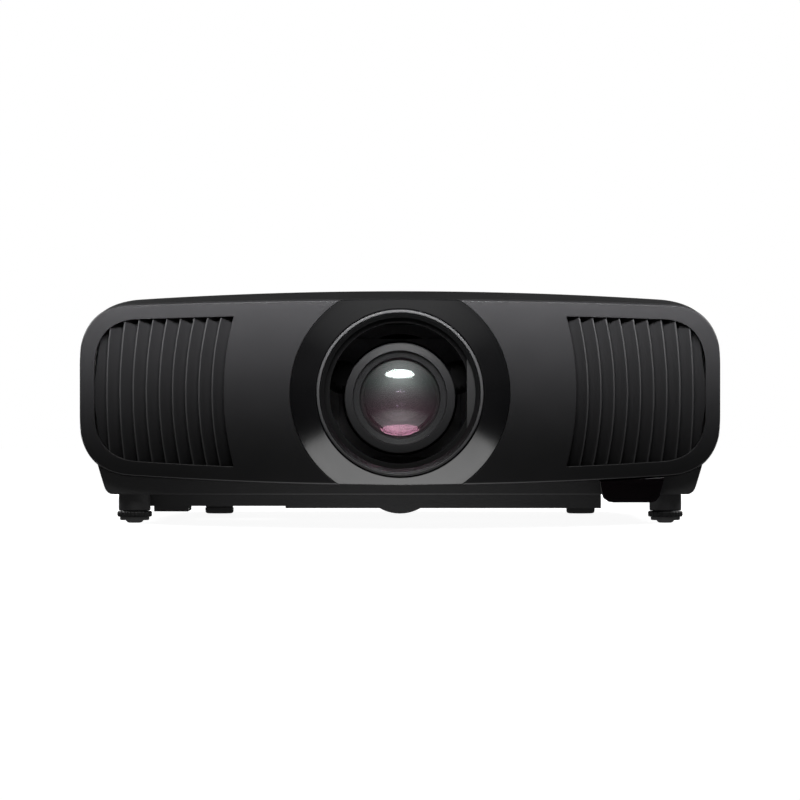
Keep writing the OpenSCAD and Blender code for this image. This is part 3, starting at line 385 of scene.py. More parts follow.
def lathe(name, prof, mat, body, cx=0.0, cz=ZL, seg=192, axis="y", closed=True, fillet=0.0, cy=0.0, **kw):
    """Turned piece about an axis along Y (or Z). prof: list of (radius, place along the axis) in mm."""
    p = [tuple(map(float, q)) for q in prof]
    if fillet:
        p = round_profile(p, fillet, closed)
    n = len(p)
    verts, faces = [], []
    idx = {}
    for i, (r, h) in enumerate(p):
        if r < 1e-6:
            idx[i] = [len(verts)] * seg
            verts.append((cx, h, cz) if axis == "y" else (cx, cy, h))
        else:
            idx[i] = list(range(len(verts), len(verts) + seg))
            for j in range(seg):
                a = 2 * math.pi * j / seg
                if axis == "y":
                    verts.append((cx + r * math.cos(a), h, cz + r * math.sin(a)))
                else:
                    verts.append((cx + r * math.cos(a), cy + r * math.sin(a), h))
    for i in range(n if closed else n - 1):
        a, b = idx[i], idx[(i + 1) % n]
        if a[0] == a[1] and b[0] == b[1]:
            continue
        for j in range(seg):
            k = (j + 1) % seg
            f = [a[j], a[k], b[k], b[j]]
            g = []
            for q in f:
                if q not in g:
                    g.append(q)
            if len(g) > 2:
                faces.append(g)
    return build(name, verts, faces, mat, body, **kw)


def round_profile(p, rad, closed=True, steps=3, skip_axis=True):
    out = []
    n = len(p)
    for i in range(n):
        if not closed and i in (0, n - 1):
            out.append(p[i])
            continue
        a, b, c = X(p[i - 1]), X(p[i]), X(p[(i + 1) % n])
        if skip_axis and p[i][0] < 1e-6:
            out.append(p[i])
            continue
        u, v = a - b, c - b
        lu, lv = np.linalg.norm(u), np.linalg.norm(v)
        if lu < 1e-6 or lv < 1e-6:
            continue
        u, v = u / lu, v / lv
        ang = math.acos(max(-1, min(1, float(u @ v))))
        if ang > math.radians(160):
            out.append(p[i])
            continue
        t = min(rad, 0.42 * lu, 0.42 * lv)
        for s in range(steps + 1):
            w = s / steps
            q = (1 - w) ** 2 * (b + u * t) + 2 * w * (1 - w) * b + w * w * (b + v * t)
            out.append((float(q[0]), float(q[1])))
    return out


def tube(name, pts, r, mat, body, seg=12, **kw):
    P = [X(p, float) for p in pts]
    verts, faces = [], []
    up = X([0.0, 0.0, 1.0])
    for i, p in enumerate(P):
        d = P[min(i + 1, len(P) - 1)] - P[max(i - 1, 0)]
        d = d / np.linalg.norm(d)
        s = np.cross(d, up)
        if np.linalg.norm(s) < 1e-3:
            s = np.cross(d, X([1.0, 0, 0]))
        s = s / np.linalg.norm(s)
        t = np.cross(s, d)
        for j in range(seg):
            a = 2 * math.pi * j / seg
            verts.append(p + r * (math.cos(a) * s + math.sin(a) * t))
    for i in range(len(P) - 1):
        for j in range(seg):
            k = (j + 1) % seg
            faces.append((i * seg + j, i * seg + k, (i + 1) * seg + k, (i + 1) * seg + j))
    faces.append(list(range(seg)))
    faces.append(list(range((len(P) - 1) * seg, len(P) * seg)))
    return build(name, verts, faces, mat, body, **kw)


def rounded_rect(x0, x1, z0, z1, r, steps=6):
    pts = []
    for cx, cz, a0 in ((x1 - r, z1 - r, 0), (x0 + r, z1 - r, 90), (x0 + r, z0 + r, 180), (x1 - r, z0 + r, 270)):
        for s in range(steps + 1):
            a = math.radians(a0 + 90.0 * s / steps)
            pts.append((cx + r * math.cos(a), cz + r * math.sin(a)))
    return pts


def fill_tris(loops, inner_pts=()):
    """Triangles of the region inside loops[0] and outside the other loops. Returns (points, triangles); the loops' points come first."""
    pts = [tuple(p) for l in loops for p in l]
    edges = []
    o = 0
    for l in loops:
        n = len(l)
        edges += [(o + i, o + (i + 1) % n) for i in range(n)]
        o += n
    allp = pts + [tuple(p) for p in inner_pts]
    res = geometry.delaunay_2d_cdt([Vector(p) for p in allp], edges, [], 0, 1e-7, True)
    vs, fs, orig = res[0], res[2], res[3]
    assert all(len(q) > 0 for q in orig), "loops cross"
    mp = [q[0] for q in orig]
    L = [X(l, float) for l in loops]

    def inside(p, poly):
        x, y = p
        a, b = poly, np.roll(poly, -1, axis=0)
        c = (a[:, 1] > y) != (b[:, 1] > y)
        with np.errstate(divide="ignore", invalid="ignore"):
            xx = (b[:, 0] - a[:, 0]) * (y - a[:, 1]) / (b[:, 1] - a[:, 1]) + a[:, 0]
        return bool(np.count_nonzero(c & (x < xx)) % 2)

    tris = []
    for f in fs:
        c = sum((Vector(vs[i]) for i in f), Vector((0, 0))) / len(f)
        if inside(c, L[0]) and not any(inside(c, l) for l in L[1:]):
            tris.append([mp[i] for i in f])
    return allp, tris


# ------------------------------------------------------------------ outlines


def half_upper(a, b, k, rx, ry, n, nl=60, nc=400, ns=60):
    """From the top middle to the side at height 0, right half."""
    pts = []
    for i in range(nl):
        u = (a - rx) * i / nl
        pts.append((u, b - k * u * u))
    for i in range(nc + 1):
        t = math.radians(90.0 * (1 - i / nc))
        u = a - rx + rx * math.cos(t) ** (2 / n) if i else a - rx
        v = 1 - (ry / b) * (1 - math.sin(t) ** (2 / n)) if i < nc else 1 - ry / b
        pts.append((u, v * (b - k * u * u)))
    z0 = pts[-1][1]
    for i in range(1, ns + 1):
        pts.append((a, z0 * (1 - i / ns)))
    return pts


def panel_outline(a=AW, bt=75.2, kt=0.000083, bb=74.0, kb=0.000153, rt=(41.8, 51.7, 2.44), rb=(43.5, 54.4, 2.54)):
    top = half_upper(a, bt, kt, rt[0], rt[1], rt[2])
    bot = [(u, -z) for u, z in half_upper(a, bb, kb, rb[0], rb[1], rb[2])][::-1]
    p = X(top + bot[1:], float)
    keep = [0]
    for i in range(1, len(p)):
        if np.linalg.norm(p[i] - p[keep[-1]]) > 1e-4:
            keep.append(i)
    return p[keep]


class Rail:
    """Right half of an outline, from the top middle clockwise to the bottom middle, with offsets."""

    def __init__(self, pts):
        self.p = pts
        d = np.gradient(pts, axis=0)
        t = d / np.linalg.norm(d, axis=1)[:, None]
        nrm = np.stack([-t[:, 1], t[:, 0]], 1)
        self.n = nrm
        seg = np.linalg.norm(np.diff(pts, axis=0), axis=1)
        self.s = np.concatenate([[0], np.cumsum(seg)])
        ang = np.unwrap(np.arctan2(t[:, 1], t[:, 0]))
        self.turn = np.abs(ang - ang[0])

    def at(self, s, off=0.0):
        """Points at arc lengths s, moved outwards by off."""
        x = np.interp(s, self.s, self.p[:, 0])
        z = np.interp(s, self.s, self.p[:, 1])
        nx = np.interp(s, self.s, self.n[:, 0])
        nz = np.interp(s, self.s, self.n[:, 1])
        q = np.stack([x + off * nx, z + off * nz], 1)
        return q

    def spacing(self, s0, s1, ds=4.0, dth=0.05):
        """Arc lengths between s0 and s1, closer together where the outline turns."""
        g = np.linspace(s0, s1, 4000)
        tu = np.interp(g, self.s, self.turn)
        w = g / ds + tu / dth
        n = int(math.ceil(w[-1] - w[0]))
        return np.interp(np.linspace(w[0], w[-1], n + 1), w, g)


def outside_circle(rail, off, c, R):
    """Arc lengths of the first and last point of the moved rail that lie outside a circle."""
    q = rail.at(rail.s, off)
    d = np.hypot(q[:, 0] - c[0], q[:, 1] - c[1]) - R
    top = np.where((d[:-1] < 0) & (d[1:] >= 0))[0][0]
    bot = np.where((d[:-1] >= 0) & (d[1:] < 0))[0][-1]
    f = lambda i: rail.s[i] + (rail.s[i + 1] - rail.s[i]) * d[i] / (d[i] - d[i + 1])
    return f(top), f(bot)


def region_loop(rail, off, c, R, tau, na):
    """Closed loop: the rail moved by off, then back along the circle. tau holds shares of the rail's stretch."""
    s0, s1 = outside_circle(rail, off, c, R)
    a = rail.at(s0 + (s1 - s0) * tau, off)
    b0 = math.atan2(a[-1][1] - c[1], a[-1][0] - c[0])
    b1 = math.atan2(a[0][1] - c[1], a[0][0] - c[0])
    arc = [(c[0] + R * math.cos(b0 + (b1 - b0) * i / na), c[1] + R * math.sin(b0 + (b1 - b0) * i / na)) for i in range(1, na)]
    return np.concatenate([a, X(arc)])


def yfront(x):
    return YF0 + 12.0 * (np.asarray(x) / AW) ** 2


def crown(z):
    """The front is slightly arched from top to bottom too."""
    return 1.5 * np.clip(np.abs(np.asarray(z) - 20.0) / 90.0, 0, 1.2) ** 2


outer = Rail(panel_outline())
gr = Rail(panel_outline(AW - 12, 63.5, 0.000083, 62.3, 0.000153, rt=(36, 44, 2.5), rb=(38, 47, 2.6)))
GC, GR = (-88.0, 1.0), 231.0


def front_panel():
    s0, s1 = outside_circle(outer, 0, (0, 0), RR)
    tau = (outer.spacing(s0, s1, 4.0, 0.045) - s0) / (s1 - s0)
    g0, g1 = outside_circle(gr, 0, GC, GR)
    tg = (gr.spacing(g0, g1, 3.5, 0.06) - g0) / (g1 - g0)
    NA, NG = 90, 44
    rb, rg, ra = 0.95, 0.55, 0.5
    loops, ys = [], []      # outer loops, front to back
    steps = 5
    for i in range(steps + 1):
        f = math.pi / 2 * i / steps
        off, offa = -rb * (1 - math.sin(f)), ra * (1 - math.sin(f))
        l = region_loop(outer, off, (0, 0), RR + offa, tau, NA)
        dep = np.where(np.arange(len(l)) < len(tau), rb * (1 - math.cos(f)), ra * (1 - math.cos(f)))
        loops.append(l)
        ys.append(yfront(l[:, 0]) + crown(l[:, 1]) + dep)
    for f in (0.35, 0.7, 0.97, 1.0):
        y0 = yfront(200.0) + rb
        off = 1.3 * f
        if f == 1.0:
            off = 1.3 * f - 0.5
        l = region_loop(outer, off, (0, 0), RR, tau, NA)
        y1 = yfront(l[:, 0]) + crown(l[:, 1]) + rb
        loops.append(l)
        ys.append(y1 + (YB - y1) * f)
    gl, gy = [], []
    for i in range(4 + 1):
        f = math.pi / 2 * i / 4
        l = region_loop(gr, rg * (1 - math.sin(f)), GC, GR - rg * (1 - math.sin(f)), tg, NG)
        gl.append(l)
        gy.append(yfront(l[:, 0]) + crown(l[:, 1]) + rg * (1 - math.cos(f)))
    l = region_loop(gr, 0, GC, GR, tg, NG)
    gl.append(l)
    gy.append(np.full(len(l), YB))
    # face
    grid = []
    for x in np.arange(60, 262, 7.0):
        for z in np.arange(-77, 78, 7.0):
            grid.append((x, z))
    grid = X(grid)

    def clear(p, poly, m):
        a, b = poly, np.roll(poly, -1, axis=0)
        ab = b - a
        t = np.clip(((p - a) * ab).sum(1) / (ab * ab).sum(1), 0, 1)
        return np.min(np.hypot(*(a + ab * t[:, None] - p).T)) > m

    grid = [p for p in grid if clear(p, loops[0], 2.2) and clear(p, gl[0], 2.2)]
    fp, ft = fill_tris([loops[0], gl[0]], grid)
    bp, bt = fill_tris([loops[-1], gl[-1]])
    verts, faces = [], []

    def add(p2, y):
        i = len(verts)
        verts.extend([(min(float(a[0]), AW), float(b), float(a[1]) + ZC) for a, b in zip(p2, y)])
        return i

    lo = [add(l, y) for l, y in zip(loops, ys)]
    go = [add(l, y) for l, y in zip(gl, gy)]
    n0, ng = len(loops[0]), len(gl[0])
    ig = add(grid, yfront(X(grid)[:, 0]) + crown(X(grid)[:, 1]))

    def idx(k, a, b):
        if k < n0:
            return a + k
        if k < n0 + ng:
            return b + k - n0
        return ig + k - n0 - ng

    for t in ft:
        faces.append([idx(k, lo[0], go[0]) for k in t])
    for t in bt:
        faces.append([idx(k, lo[-1], go[-1]) for k in t])
    for st, n in ((lo, n0), (go, ng)):
        for a, b in zip(st[:-1], st[1:]):
            for j in range(n):
                k = (j + 1) % n
                faces.append((a + j, a + k, b + k, b + j))
    nv = len(verts)
    verts += [(-x, y, z) for x, y, z in verts]
    faces += [[nv + i for i in f][::-1] for f in faces]
    o = build("front_panel_skin", verts, faces, M["panel"], "housing", replaces=("front_panel",), slot="panel_plastic", sharp=48, mats=[M["panel"], M["panel_edge"]])
    # Painted highlight: bevel faces low on the panel that look down and forward take the brighter edge material, in
    # place of the floor's reflection along the bottom edge.
    for f in o.data.polygons:
        c, n_ = f.center, f.normal
        if c.z < (ZC - 55) * MM and n_.z < -0.25 and n_.y < -0.12:
            f.material_index = 1
    return o


def rim_radius(th, off):
    """Distance from the centre to the outline moved by off, in direction th (only near the top and bottom)."""
    q = outer.at(outer.s, off)
    m = (np.hypot(q[:, 0], q[:, 1]) < 130)
    top = q[m & (q[:, 1] > 0)]
    bot = q[m & (q[:, 1] < 0)]
    c = math.cos(th)
    s = math.sin(th)
    if abs(s) < 0.3:
        return 999.0
    q = top if s > 0 else bot
    a = np.arctan2(np.abs(q[:, 0]), np.abs(q[:, 1]))
    r = np.hypot(q[:, 0], q[:, 1])
    o = np.argsort(a)
    return float(np.interp(math.atan2(abs(c), abs(s)), a[o], r[o]))


def surround():
    R1, R2, Y2 = RR - 0.18, 68.35, -203.9
    fine = []
    n = 288
    for i in range(n):
        fine.append(2 * math.pi * i / n)
    # add the angles where the circle meets the outline
    for sg in (1, -1):
        q = outer.at(outer.s, 0)
        s0, s1 = outside_circle(outer, 0, (0, 0), R1)
        for s in (s0, s1):
            p = outer.at(X([s]), 0)[0]
            fine.append(math.atan2(p[1], sg * p[0]) % (2 * math.pi))
    fine = sorted(set(round(f, 6) for f in fine))
    table = {}
    for off in np.linspace(-0.6, 1.4, 11):
        table[off] = [rim_radius(t, off) for t in fine]
    offs = sorted(table)
    tab = X([table[o] for o in offs])

    def rim(j, off):
        return float(np.interp(off, offs, tab[:, j]))

    rows = []
    for j, th in enumerate(fine):
        xe = R1 * math.cos(th)
        ye = float(yfront(xe)) + 0.25 + float(crown(R1 * math.sin(th)))
        slope = lambda r: ye + (Y2 - ye) * ((R1 - r) / (R1 - R2)) ** 0.94
        off_at = lambda y: 1.3 * max(0.0, (y - (YF0 + 0.95)) / (YB - (YF0 + 0.95)))
        # meeting point with the rim
        r = R1
        for _ in range(12):
            r = min(R1, rim(j, off_at(slope(r))))
        ro, yo = r, slope(r)
        prof = []
        rb = 0.5
        wall = lambda y: min(R1, rim(j, off_at(y)))
        prof.append((wall(YB) - 0.0, YB))
        prof.append((wall(YB - 0.4), YB - 0.4))
        ya = yo + rb * 1.3
        for f in (0.66, 0.33):
            y = ya + (YB - 0.4 - ya) * f
            prof.append((wall(y), y))
        a = X([wall(ya), ya])
        b = X([ro, yo])
        c = X([ro - rb * 1.2, slope(ro - rb * 1.2)])
        for s in range(5):
            w = s / 4
            q = (1 - w) ** 2 * a + 2 * w * (1 - w) * b + w * w * c
            prof.append((float(q[0]), float(q[1])))
        for f in np.linspace(0, 1, 14)[1:]:
            rr_ = (ro - rb * 1.2) + (R2 + 0.45 - (ro - rb * 1.2)) * f
            prof.append((rr_, slope(rr_)))
        prof.append((R2 + 0.12, Y2 + 0.02))
        prof.append((R2, Y2 + 0.35))
        prof.append((R2, YB))
        rows.append(prof)
    verts, faces = [], []
    m = len(rows[0])
    for th, prof in zip(fine, rows):
        for r, y in prof:
            verts.append((r * math.cos(th), y, ZC + r * math.sin(th)))
    nt = len(fine)
    for i in range(nt):
        k = (i + 1) % nt
        for j in range(m):
            l = (j + 1) % m
            faces.append((i * m + j, k * m + j, k * m + l, i * m + l))
    return build("lens_surround_skin", verts, faces, M["gloss"], "housing", replaces=("lens_surround",), slot="gloss_black", sharp=50)


def open_edge(x, up):
    q = gr.p
    m = q[:, 1] > 0 if up else q[:, 1] < 0
    q = q[m]
    o = np.argsort(q[:, 0])
    return np.interp(np.abs(x), q[o, 0], q[o, 1])


def grilles():
    objs = []
    for s, nm in ((-1, "left"), (1, "right")):
        verts, faces, mi = [], [], []
        for i in range(10):
            x0 = 153.0 + 10.7 * i
            bow = (7.2 - 0.055 * i * i) / 60.7 ** 2
            # cross-section: rounded nose at the outer side, blade running back towards the lens
            prof = []
            r = 0.75
            a0 = math.radians(39)
            du, dv = math.cos(a0), math.sin(a0)          # along the blade: u towards the lens, v back
            nu, nv_ = dv, -du                             # across it, to the front
            L = 13.6
            for k in range(9):
                a = math.pi * (k / 8.0) - math.pi / 2
                # half circle at the nose, from the back side round to the front side
                cu = -math.cos(a) * r
                cn = math.sin(a) * r
                prof.append((cu * du + cn * nu + r, cu * dv + cn * nv_ + r))
            for f in (0.15, 0.3, 0.45, 0.6, 0.75, 0.9, 1.0):
                bend = 0.55 * math.sin(math.pi * f)
                prof.append((f * L * du + (r - bend) * nu + r, f * L * dv + (r - bend) * nv_ + r))
            for f in (1.0, 0.75, 0.5, 0.25):
                bend = 0.45 * math.sin(math.pi * f)
                prof.append((f * L * du + (-r - bend) * nu + r, f * L * dv + (-r - bend) * nv_ + r))
            nz = 56
            m = len(prof)
            base = len(verts)
            yb0 = float(yfront(x0)) + 2.3
            for j in range(nz + 1):
                w = j / nz
                for u, v in prof:
                    xm = x0 - u
                    zt = float(open_edge(xm, True))
                    zb = float(open_edge(xm, False))
                    for _ in range(3):
                        zt = float(open_edge(max(1.0, xm - bow * zt * zt), True))
                        zb = float(open_edge(max(1.0, xm - bow * zb * zb), False))
                    z = (zb - 0.35) + (zt - zb + 0.7) * w
                    verts.append((s * (xm - bow * z * z), min(yb0 + v, YB - 0.8), ZC + z))
            for j in range(nz):
                for k in range(m):
                    l = (k + 1) % m
                    faces.append((base + j * m + k, base + j * m + l, base + (j + 1) * m + l, base + (j + 1) * m + k))
                    # the nose faces take the brighter material 1: a painted highlight along each slat's nose
                    mi.append(1 if k < 8 else 0)
            faces.append([base + k for k in range(m)])
            faces.append([base + nz * m + k for k in range(m)])
            mi += [0, 0]
        objs.append(build("grille_%s_slats" % nm, verts, faces, M["slat"], "housing", replaces=("grille_%s" % nm,), slot="panel_plastic", sharp=60, mats=[M["slat"], M["slat_edge"]], mat_index=mi))
    return objs


# ------------------------------------------------------------------ casing

KS = X([[-197.5, AW - 0.8, 76.8, 0.83, 42, 52], [-191, AW - 0.4, 78.3, 0.95, 42, 53], [-178, AW - 0.2, 80.4, 1.12, 43, 54],
        [-150, AW, 83.1, 1.35, 45, 57], [-100, AW, 85.2, 1.5, 46, 59], [-30, AW, 86.0, 1.58, 46, 60],
        [60, AW - 0.5, 85.6, 1.58, 46, 60], [120, AW - 2.5, 84.8, 1.58, 46, 60], [160, AW - 6, 83.6, 1.58, 46, 60],
        [190, AW - 11, 82, 1.58, 46, 60], [208, AW - 16.5, 80.3, 1.58, 46, 60], [217, AW - 21.5, 78.6, 1.58, 46, 60],
        [221.5, AW - 26, 76.8, 1.58, 46, 60], [223.5, AW - 30.5, 74.6, 1.58, 46, 60]], float)


def pchip(xs, ys, x):
    h = np.diff(xs)
    d = np.diff(ys) / h
    m = np.zeros(len(xs))
    m[0], m[-1] = d[0], d[-1]
    for i in range(1, len(xs) - 1):
        if d[i - 1] * d[i] > 0:
            w1, w2 = 2 * h[i] + h[i - 1], h[i] + 2 * h[i - 1]
            m[i] = (w1 + w2) / (w1 / d[i - 1] + w2 / d[i])
    i = int(np.clip(np.searchsorted(xs, x) - 1, 0, len(xs) - 2))
    t = (x - xs[i]) / h[i]
    return ((2 * t ** 3 - 3 * t ** 2 + 1) * ys[i] + (t ** 3 - 2 * t ** 2 + t) * h[i] * m[i]
            + (-2 * t ** 3 + 3 * t ** 2) * ys[i + 1] + (t ** 3 - t ** 2) * h[i] * m[i + 1])


def par(y):
    return [float(pchip(KS[:, 0], KS[:, k], y)) for k in range(1, 6)]


def side(a, d):
    return a - 0.161 * d - 0.00104 * d * d


def cover_curve(a, b, k, rx, ry, z_low):
    """Right half from the split line over the corner to the top middle: (x, z)."""
    pts = []
    k = k * 1e-4
    v0 = 1 - ry / b
    z0 = v0 * (b - k * a * a)
    for f in np.linspace(0, 1, 8)[:-1]:
        pts.append((a, z_low + (z0 - z_low) * f))
    for t in np.concatenate([np.linspace(0, 12, 6)[:-1], np.linspace(12, 90, 26)]):
        t = math.radians(float(t))
        u = a - rx + rx * (math.cos(t) ** (2 / 2.4) if t < 1.5707 else 0)
        v = 1 - (ry / b) * (1 - (math.sin(t) ** (2 / 2.4) if t > 0 else 0))
        pts.append((u, v * (b - k * u * u)))
    for f in np.linspace(0, 1, 14)[1:]:
        u = (a - rx) * (1 - f)
        pts.append((u, b - k * u * u))
    return pts


def case_curve(a, D, z_top, rc=6.5):
    """Right half from the split line down round the bottom corner to the floor's middle."""
    pts = []
    for f in np.linspace(0, 1, 26):
        d = -z_top + (D - rc + z_top) * f
        pts.append((side(a, d), -d))
    p0, p1, p2 = X(pts[-1]), X([side(a, D), -D]), X([side(a, D) - 5.8, -D])
    for s in range(1, 9):
        w = s / 8
        q = (1 - w) ** 2 * p0 + 2 * w * (1 - w) * p1 + w * w * p2
        pts.append((float(q[0]), float(q[1])))
    for f in np.linspace(0, 1, 14)[1:]:
        pts.append((p2[0] * (1 - f), -D))
    return pts


def shell(name, upper, node, mat, slot):
    gap = 0.25
    ys = list(np.concatenate([[-197.5], np.linspace(-195, -140, 16), np.linspace(-125, 110, 14), np.linspace(120, 190, 10),
                              np.linspace(195, 218, 10), [219.5, 220.8, 221.9, 222.8, 223.3]]))

    def ring(y, inset, edge=0.0):
        a, b, k, rx, ry = par(y)
        if upper:
            c = cover_curve(a - inset, b - inset, k, rx - inset * 0.6, ry - inset * 0.6, gap + edge)
        else:
            D = float(np.interp(y, [208, 217, 221.5, 223.5], [82.5, 82.0, 81.0, 79.0]))
            c = case_curve(a - inset, D - inset, -gap - edge)
        return c

    def back(y):
        if upper:
            return cover_curve(AW - 34, 71.4, 1.58, 40, 52, gap)
        return case_curve(AW - 34, 75.5, -gap, rc=3.5)

    prof = []        # closed path of rings: outside front to back, rear edge, inside back to front
    prof.append((-197.5, ring(-197.5, 0.45)))
    prof.append((-197.35, ring(-197.5, 0.14)))
    prof.append((-196.9, ring(-197.0, 0.0)))
    for y in ys[1:]:
        prof.append((y, ring(y, 0)))
    prof.append((223.5, ring(223.4, 0.9)))
    bk = back(0)
    prof.append((223.5, [tuple(X(p) + (X(q) - X(p)) * 0.12) for p, q in zip(bk, ring(223.4, 0.9))]))
    prof.append((223.1, bk))
    prof.append((214.0, bk))
    prof.append((204.0, bk))
    inn = [204.0, 195, 175, 150, 120, 80, 40, 0, -40, -80, -120, -150, -175, -190]
    for y in inn:
        prof.append((y, ring(min(y, 203.9), 3.0)))
    prof.append((-197.5, ring(-197.5, 3.0)))
    n = len(prof)
    m = len(prof[0][1])
    verts, faces = [], []
    # vertices: each ring and its mirror on the left half
    for y, c in prof:
        full = [(x, z) for x, z in c] + [(-x, z) for x, z in c[::-1][1:]]
        for x, z in full:
            verts.append((x, y, ZC + z))
    M2 = 2 * m - 1
    for i in range(n):
        k = (i + 1) % n
        for j in range(M2 - 1):
            faces.append((i * M2 + j, k * M2 + j, k * M2 + j + 1, i * M2 + j + 1))
    for j in (0, M2 - 1):
        loop = [(verts[i * M2 + j][0], verts[i * M2 + j][1]) for i in range(n)]
        try:
            _, tr = fill_tris([loop])
            for t in tr:
                faces.append([q * M2 + j for q in t])
        except AssertionError:
            faces.append([i * M2 + j for i in range(n)])
    return build(name, verts, faces, mat, "housing", replaces=(node,), slot=slot, sharp=44)


def skirt():
    """Front wall of the lower case, under the panel."""
    a = par(-197.5)[0]
    D = 82.5
    c = case_curve(a, D, -62.0)
    right = [(x, z) for x, z in c]
    loops = []
    full = [(x, z) for x, z in right] + [(-x, z) for x, z in right[::-1][1:]]
    full = X(full)
    # outline of the wall: up the sides, then along the top edge
    top = [(-238.0, -60.0), (-140.0, -60.0), (-138.0, -68.0), (138.0, -68.0), (140.0, -60.0), (238.0, -60.0)]
    base = [p for p in full if p[1] < -62.05]
    outl = X(list(base) + [(-240.0, -60.5)] + top[1:-1] + [(240.0, -60.5)])
    area2 = float(np.sum(outl[:, 0] * np.roll(outl[:, 1], -1) - np.roll(outl[:, 0], -1) * outl[:, 1]))
    turn = 1.0 if area2 > 0 else -1.0

    def inset(poly, d):
        t = np.roll(poly, -1, axis=0) - np.roll(poly, 1, axis=0)
        t = t / np.linalg.norm(t, axis=1)[:, None]
        q = poly + turn * d * np.stack([-t[:, 1], t[:, 0]], 1)
        q[0], q[len(base) - 1:] = poly[0], poly[len(base) - 1:]
        return q

    r = 0.9
    loops, ys = [], []
    for i in range(5):
        f = math.pi / 2 * i / 4
        loops.append(inset(outl, r * (1 - math.sin(f))))
        ys.append(-198.0 + r * (1 - math.cos(f)))
    loops.append(outl)
    ys.append(-194.6)
    verts, faces = [], []
    n = len(outl)
    for l, y in zip(loops, ys):
        verts += [(p[0], y, ZC + p[1]) for p in l]
    for a_ in range(len(loops) - 1):
        for j in range(n):
            k = (j + 1) % n
            faces.append((a_ * n + j, a_ * n + k, (a_ + 1) * n + k, (a_ + 1) * n + j))
    for li in (0, len(loops) - 1):
        _, tr = fill_tris([loops[li]])
        faces += [[li * n + q for q in t] for t in tr]
    return build("lower_case_front_wall", verts, faces, M["shell"], "housing", slot="shell_plastic", sharp=44)


# ------------------------------------------------------------------ trim ring and lens

front_panel()
surround()
grilles()
# the top cover takes the darker cover material: painted shade on the top
cover = shell("top_cover_skin", True, "top_cover", M["cover"], "shell_plastic")
case = shell("lower_case_skin", False, "lower_case", M["shell"], "shell_plastic")
skirt()

trim = lathe("trim_ring", [(68.0, -203.2), (68.0, -194.4), (61.6, -194.4), (61.6, -195.6), (64.5, -200.4), (65.1, -200.4), (65.6, -204.4),
                    (65.9, -204.95), (67.4, -204.95), (67.9, -204.4)], M["ring"], "housing", cz=ZC, seg=256, fillet=0.3, replaces=("lens_ring",), slot="ring_metal", sharp=50, mats=[M["ring"], M["lip"]])
# Painted highlight: the ring's outer front lip takes the lighter lip material so that it shows as a thin bright line
# round the ring.
for f in trim.data.polygons:
    if math.hypot(f.center.x, f.center.z - ZC * MM) > 65.5 * MM and f.center.y < -0.2040:
        f.material_index = 1
lathe("trim_ring_flange", [(71.3, -198.45), (68.05, -198.45), (68.05, -199.7), (71.3, -199.7)], M["dark"], "housing", cz=ZC, seg=128, slot="ring_metal")

# front cell: stepped rings with a fine thread inside, from the CAD profile
prof = [(45.3, -166), (45.3, -179.6), (45.0, -180.5), (44.3, -180.95), (39.4, -182.45), (38.8, -182.4), (38.4, -181.7), (38.2, -179.0), (37.9, -178.7)]
for i in range(7):
    r0 = 37.4 - i * 0.58
    y0 = -178.4 + i * 0.36
    prof += [(r0, y0), (r0 - 0.42, y0 + 0.06), (r0 - 0.46, y0 + 0.30)]
prof += [(33.1, -175.6), (32.7, -174.2), (32.6, -172.0), (33.55, -172.0), (33.55, -165.2), (31, -165.2), (31, -163.0), (36.4, -163), (36.4, -149), (43, -149), (43, -166)]
lathe("lens_cell_rings", prof, M["cell"], "front_cell", seg=256, replaces=("lens_front_cell",), slot="lens_black", sharp=30)

# front element: two spherical faces and a ground rim
def cap(r, rad, y0, sgn, n=24):
    sag = rad - math.sqrt(rad * rad - r * r)
    return [(r * math.sin(math.pi / 2 * i / n), y0 + sgn * (sag - (rad - math.sqrt(rad * rad - (r * math.sin(math.pi / 2 * i / n)) ** 2)))) for i in range(n + 1)]

c1 = cap(32.3, 66.7, -172.0, -1)
c2 = [(r, y) for r, y in cap(32.3, 150.0, -166.2, 1)]
c2 = [(r, -166.2 - (y + 166.2) * 0.0 - 0.0) for r, y in c2]
pf = c1 + [(33.3, -171.9), (33.3, -165.4), (32.3, -165.4)] + [(32.3 * (1 - i / 20), -165.4 + 6.5 * (1 - (1 - i / 20) ** 2)) for i in range(1, 21)]
fe = lathe("front_element_glass", pf, M["front_glass"], "front_cell", seg=160, closed=False, replaces=("front_element",), slot="optical_glass", sharp=60,
           mats=[M["front_glass"], M["pink_glass"], M["dark"]])
for f in fe.data.polygons:
    c = f.center
    r = math.hypot(c.x, c.z - ZL * MM) / MM
    f.material_index = 2 if r > 32.31 else (1 if c.y > -0.1655 else 0)

# second and third elements and the black baffles between them, inside the barrel
lathe("second_element_glass", [(0.0, -155.9)] + [(29.6 * i / 16, -155.9 + 6.5 * (i / 16) ** 2) for i in range(1, 17)] + [(29.8, -147.4), (29.0, -146.9)]
      + [(29.0 * (1 - i / 10), -146.9 - 2.0 * (1 - (1 - i / 10) ** 2)) for i in range(1, 11)], M["second_glass"], "lens_body", seg=128, closed=False, slot="optical_glass", sharp=60)
bf = [(30.45, -158.5), (29.9, -158.5)]
y = -157.6
r = 29.9
while r > 15.5:
    bf += [(r, y), (r - 0.55, y + 0.15)]
    y += 1.35 if r > 29.0 else 0.8
    r -= 1.6 if y > -146.4 else 0.04
bf += [(15.0, y), (15.0, y + 3.0), (30.45, y + 3.0)]
lathe("lens_baffles", bf, M["dark"], "lens_body", seg=128, slot="lens_black", sharp=25)
yz = y + 1.6
pi_ = [(0.0, yz - 5.5)] + [(14.9 * i / 14, yz - 5.5 * (1 - (i / 14) ** 2)) for i in range(1, 15)] + [(14.9, yz + 1.4)]
pi_ += [(14.9 * (1 - i / 12), yz + 1.4 + 6.2 * (1 - (1 - i / 12) ** 2)) for i in range(1, 13)]
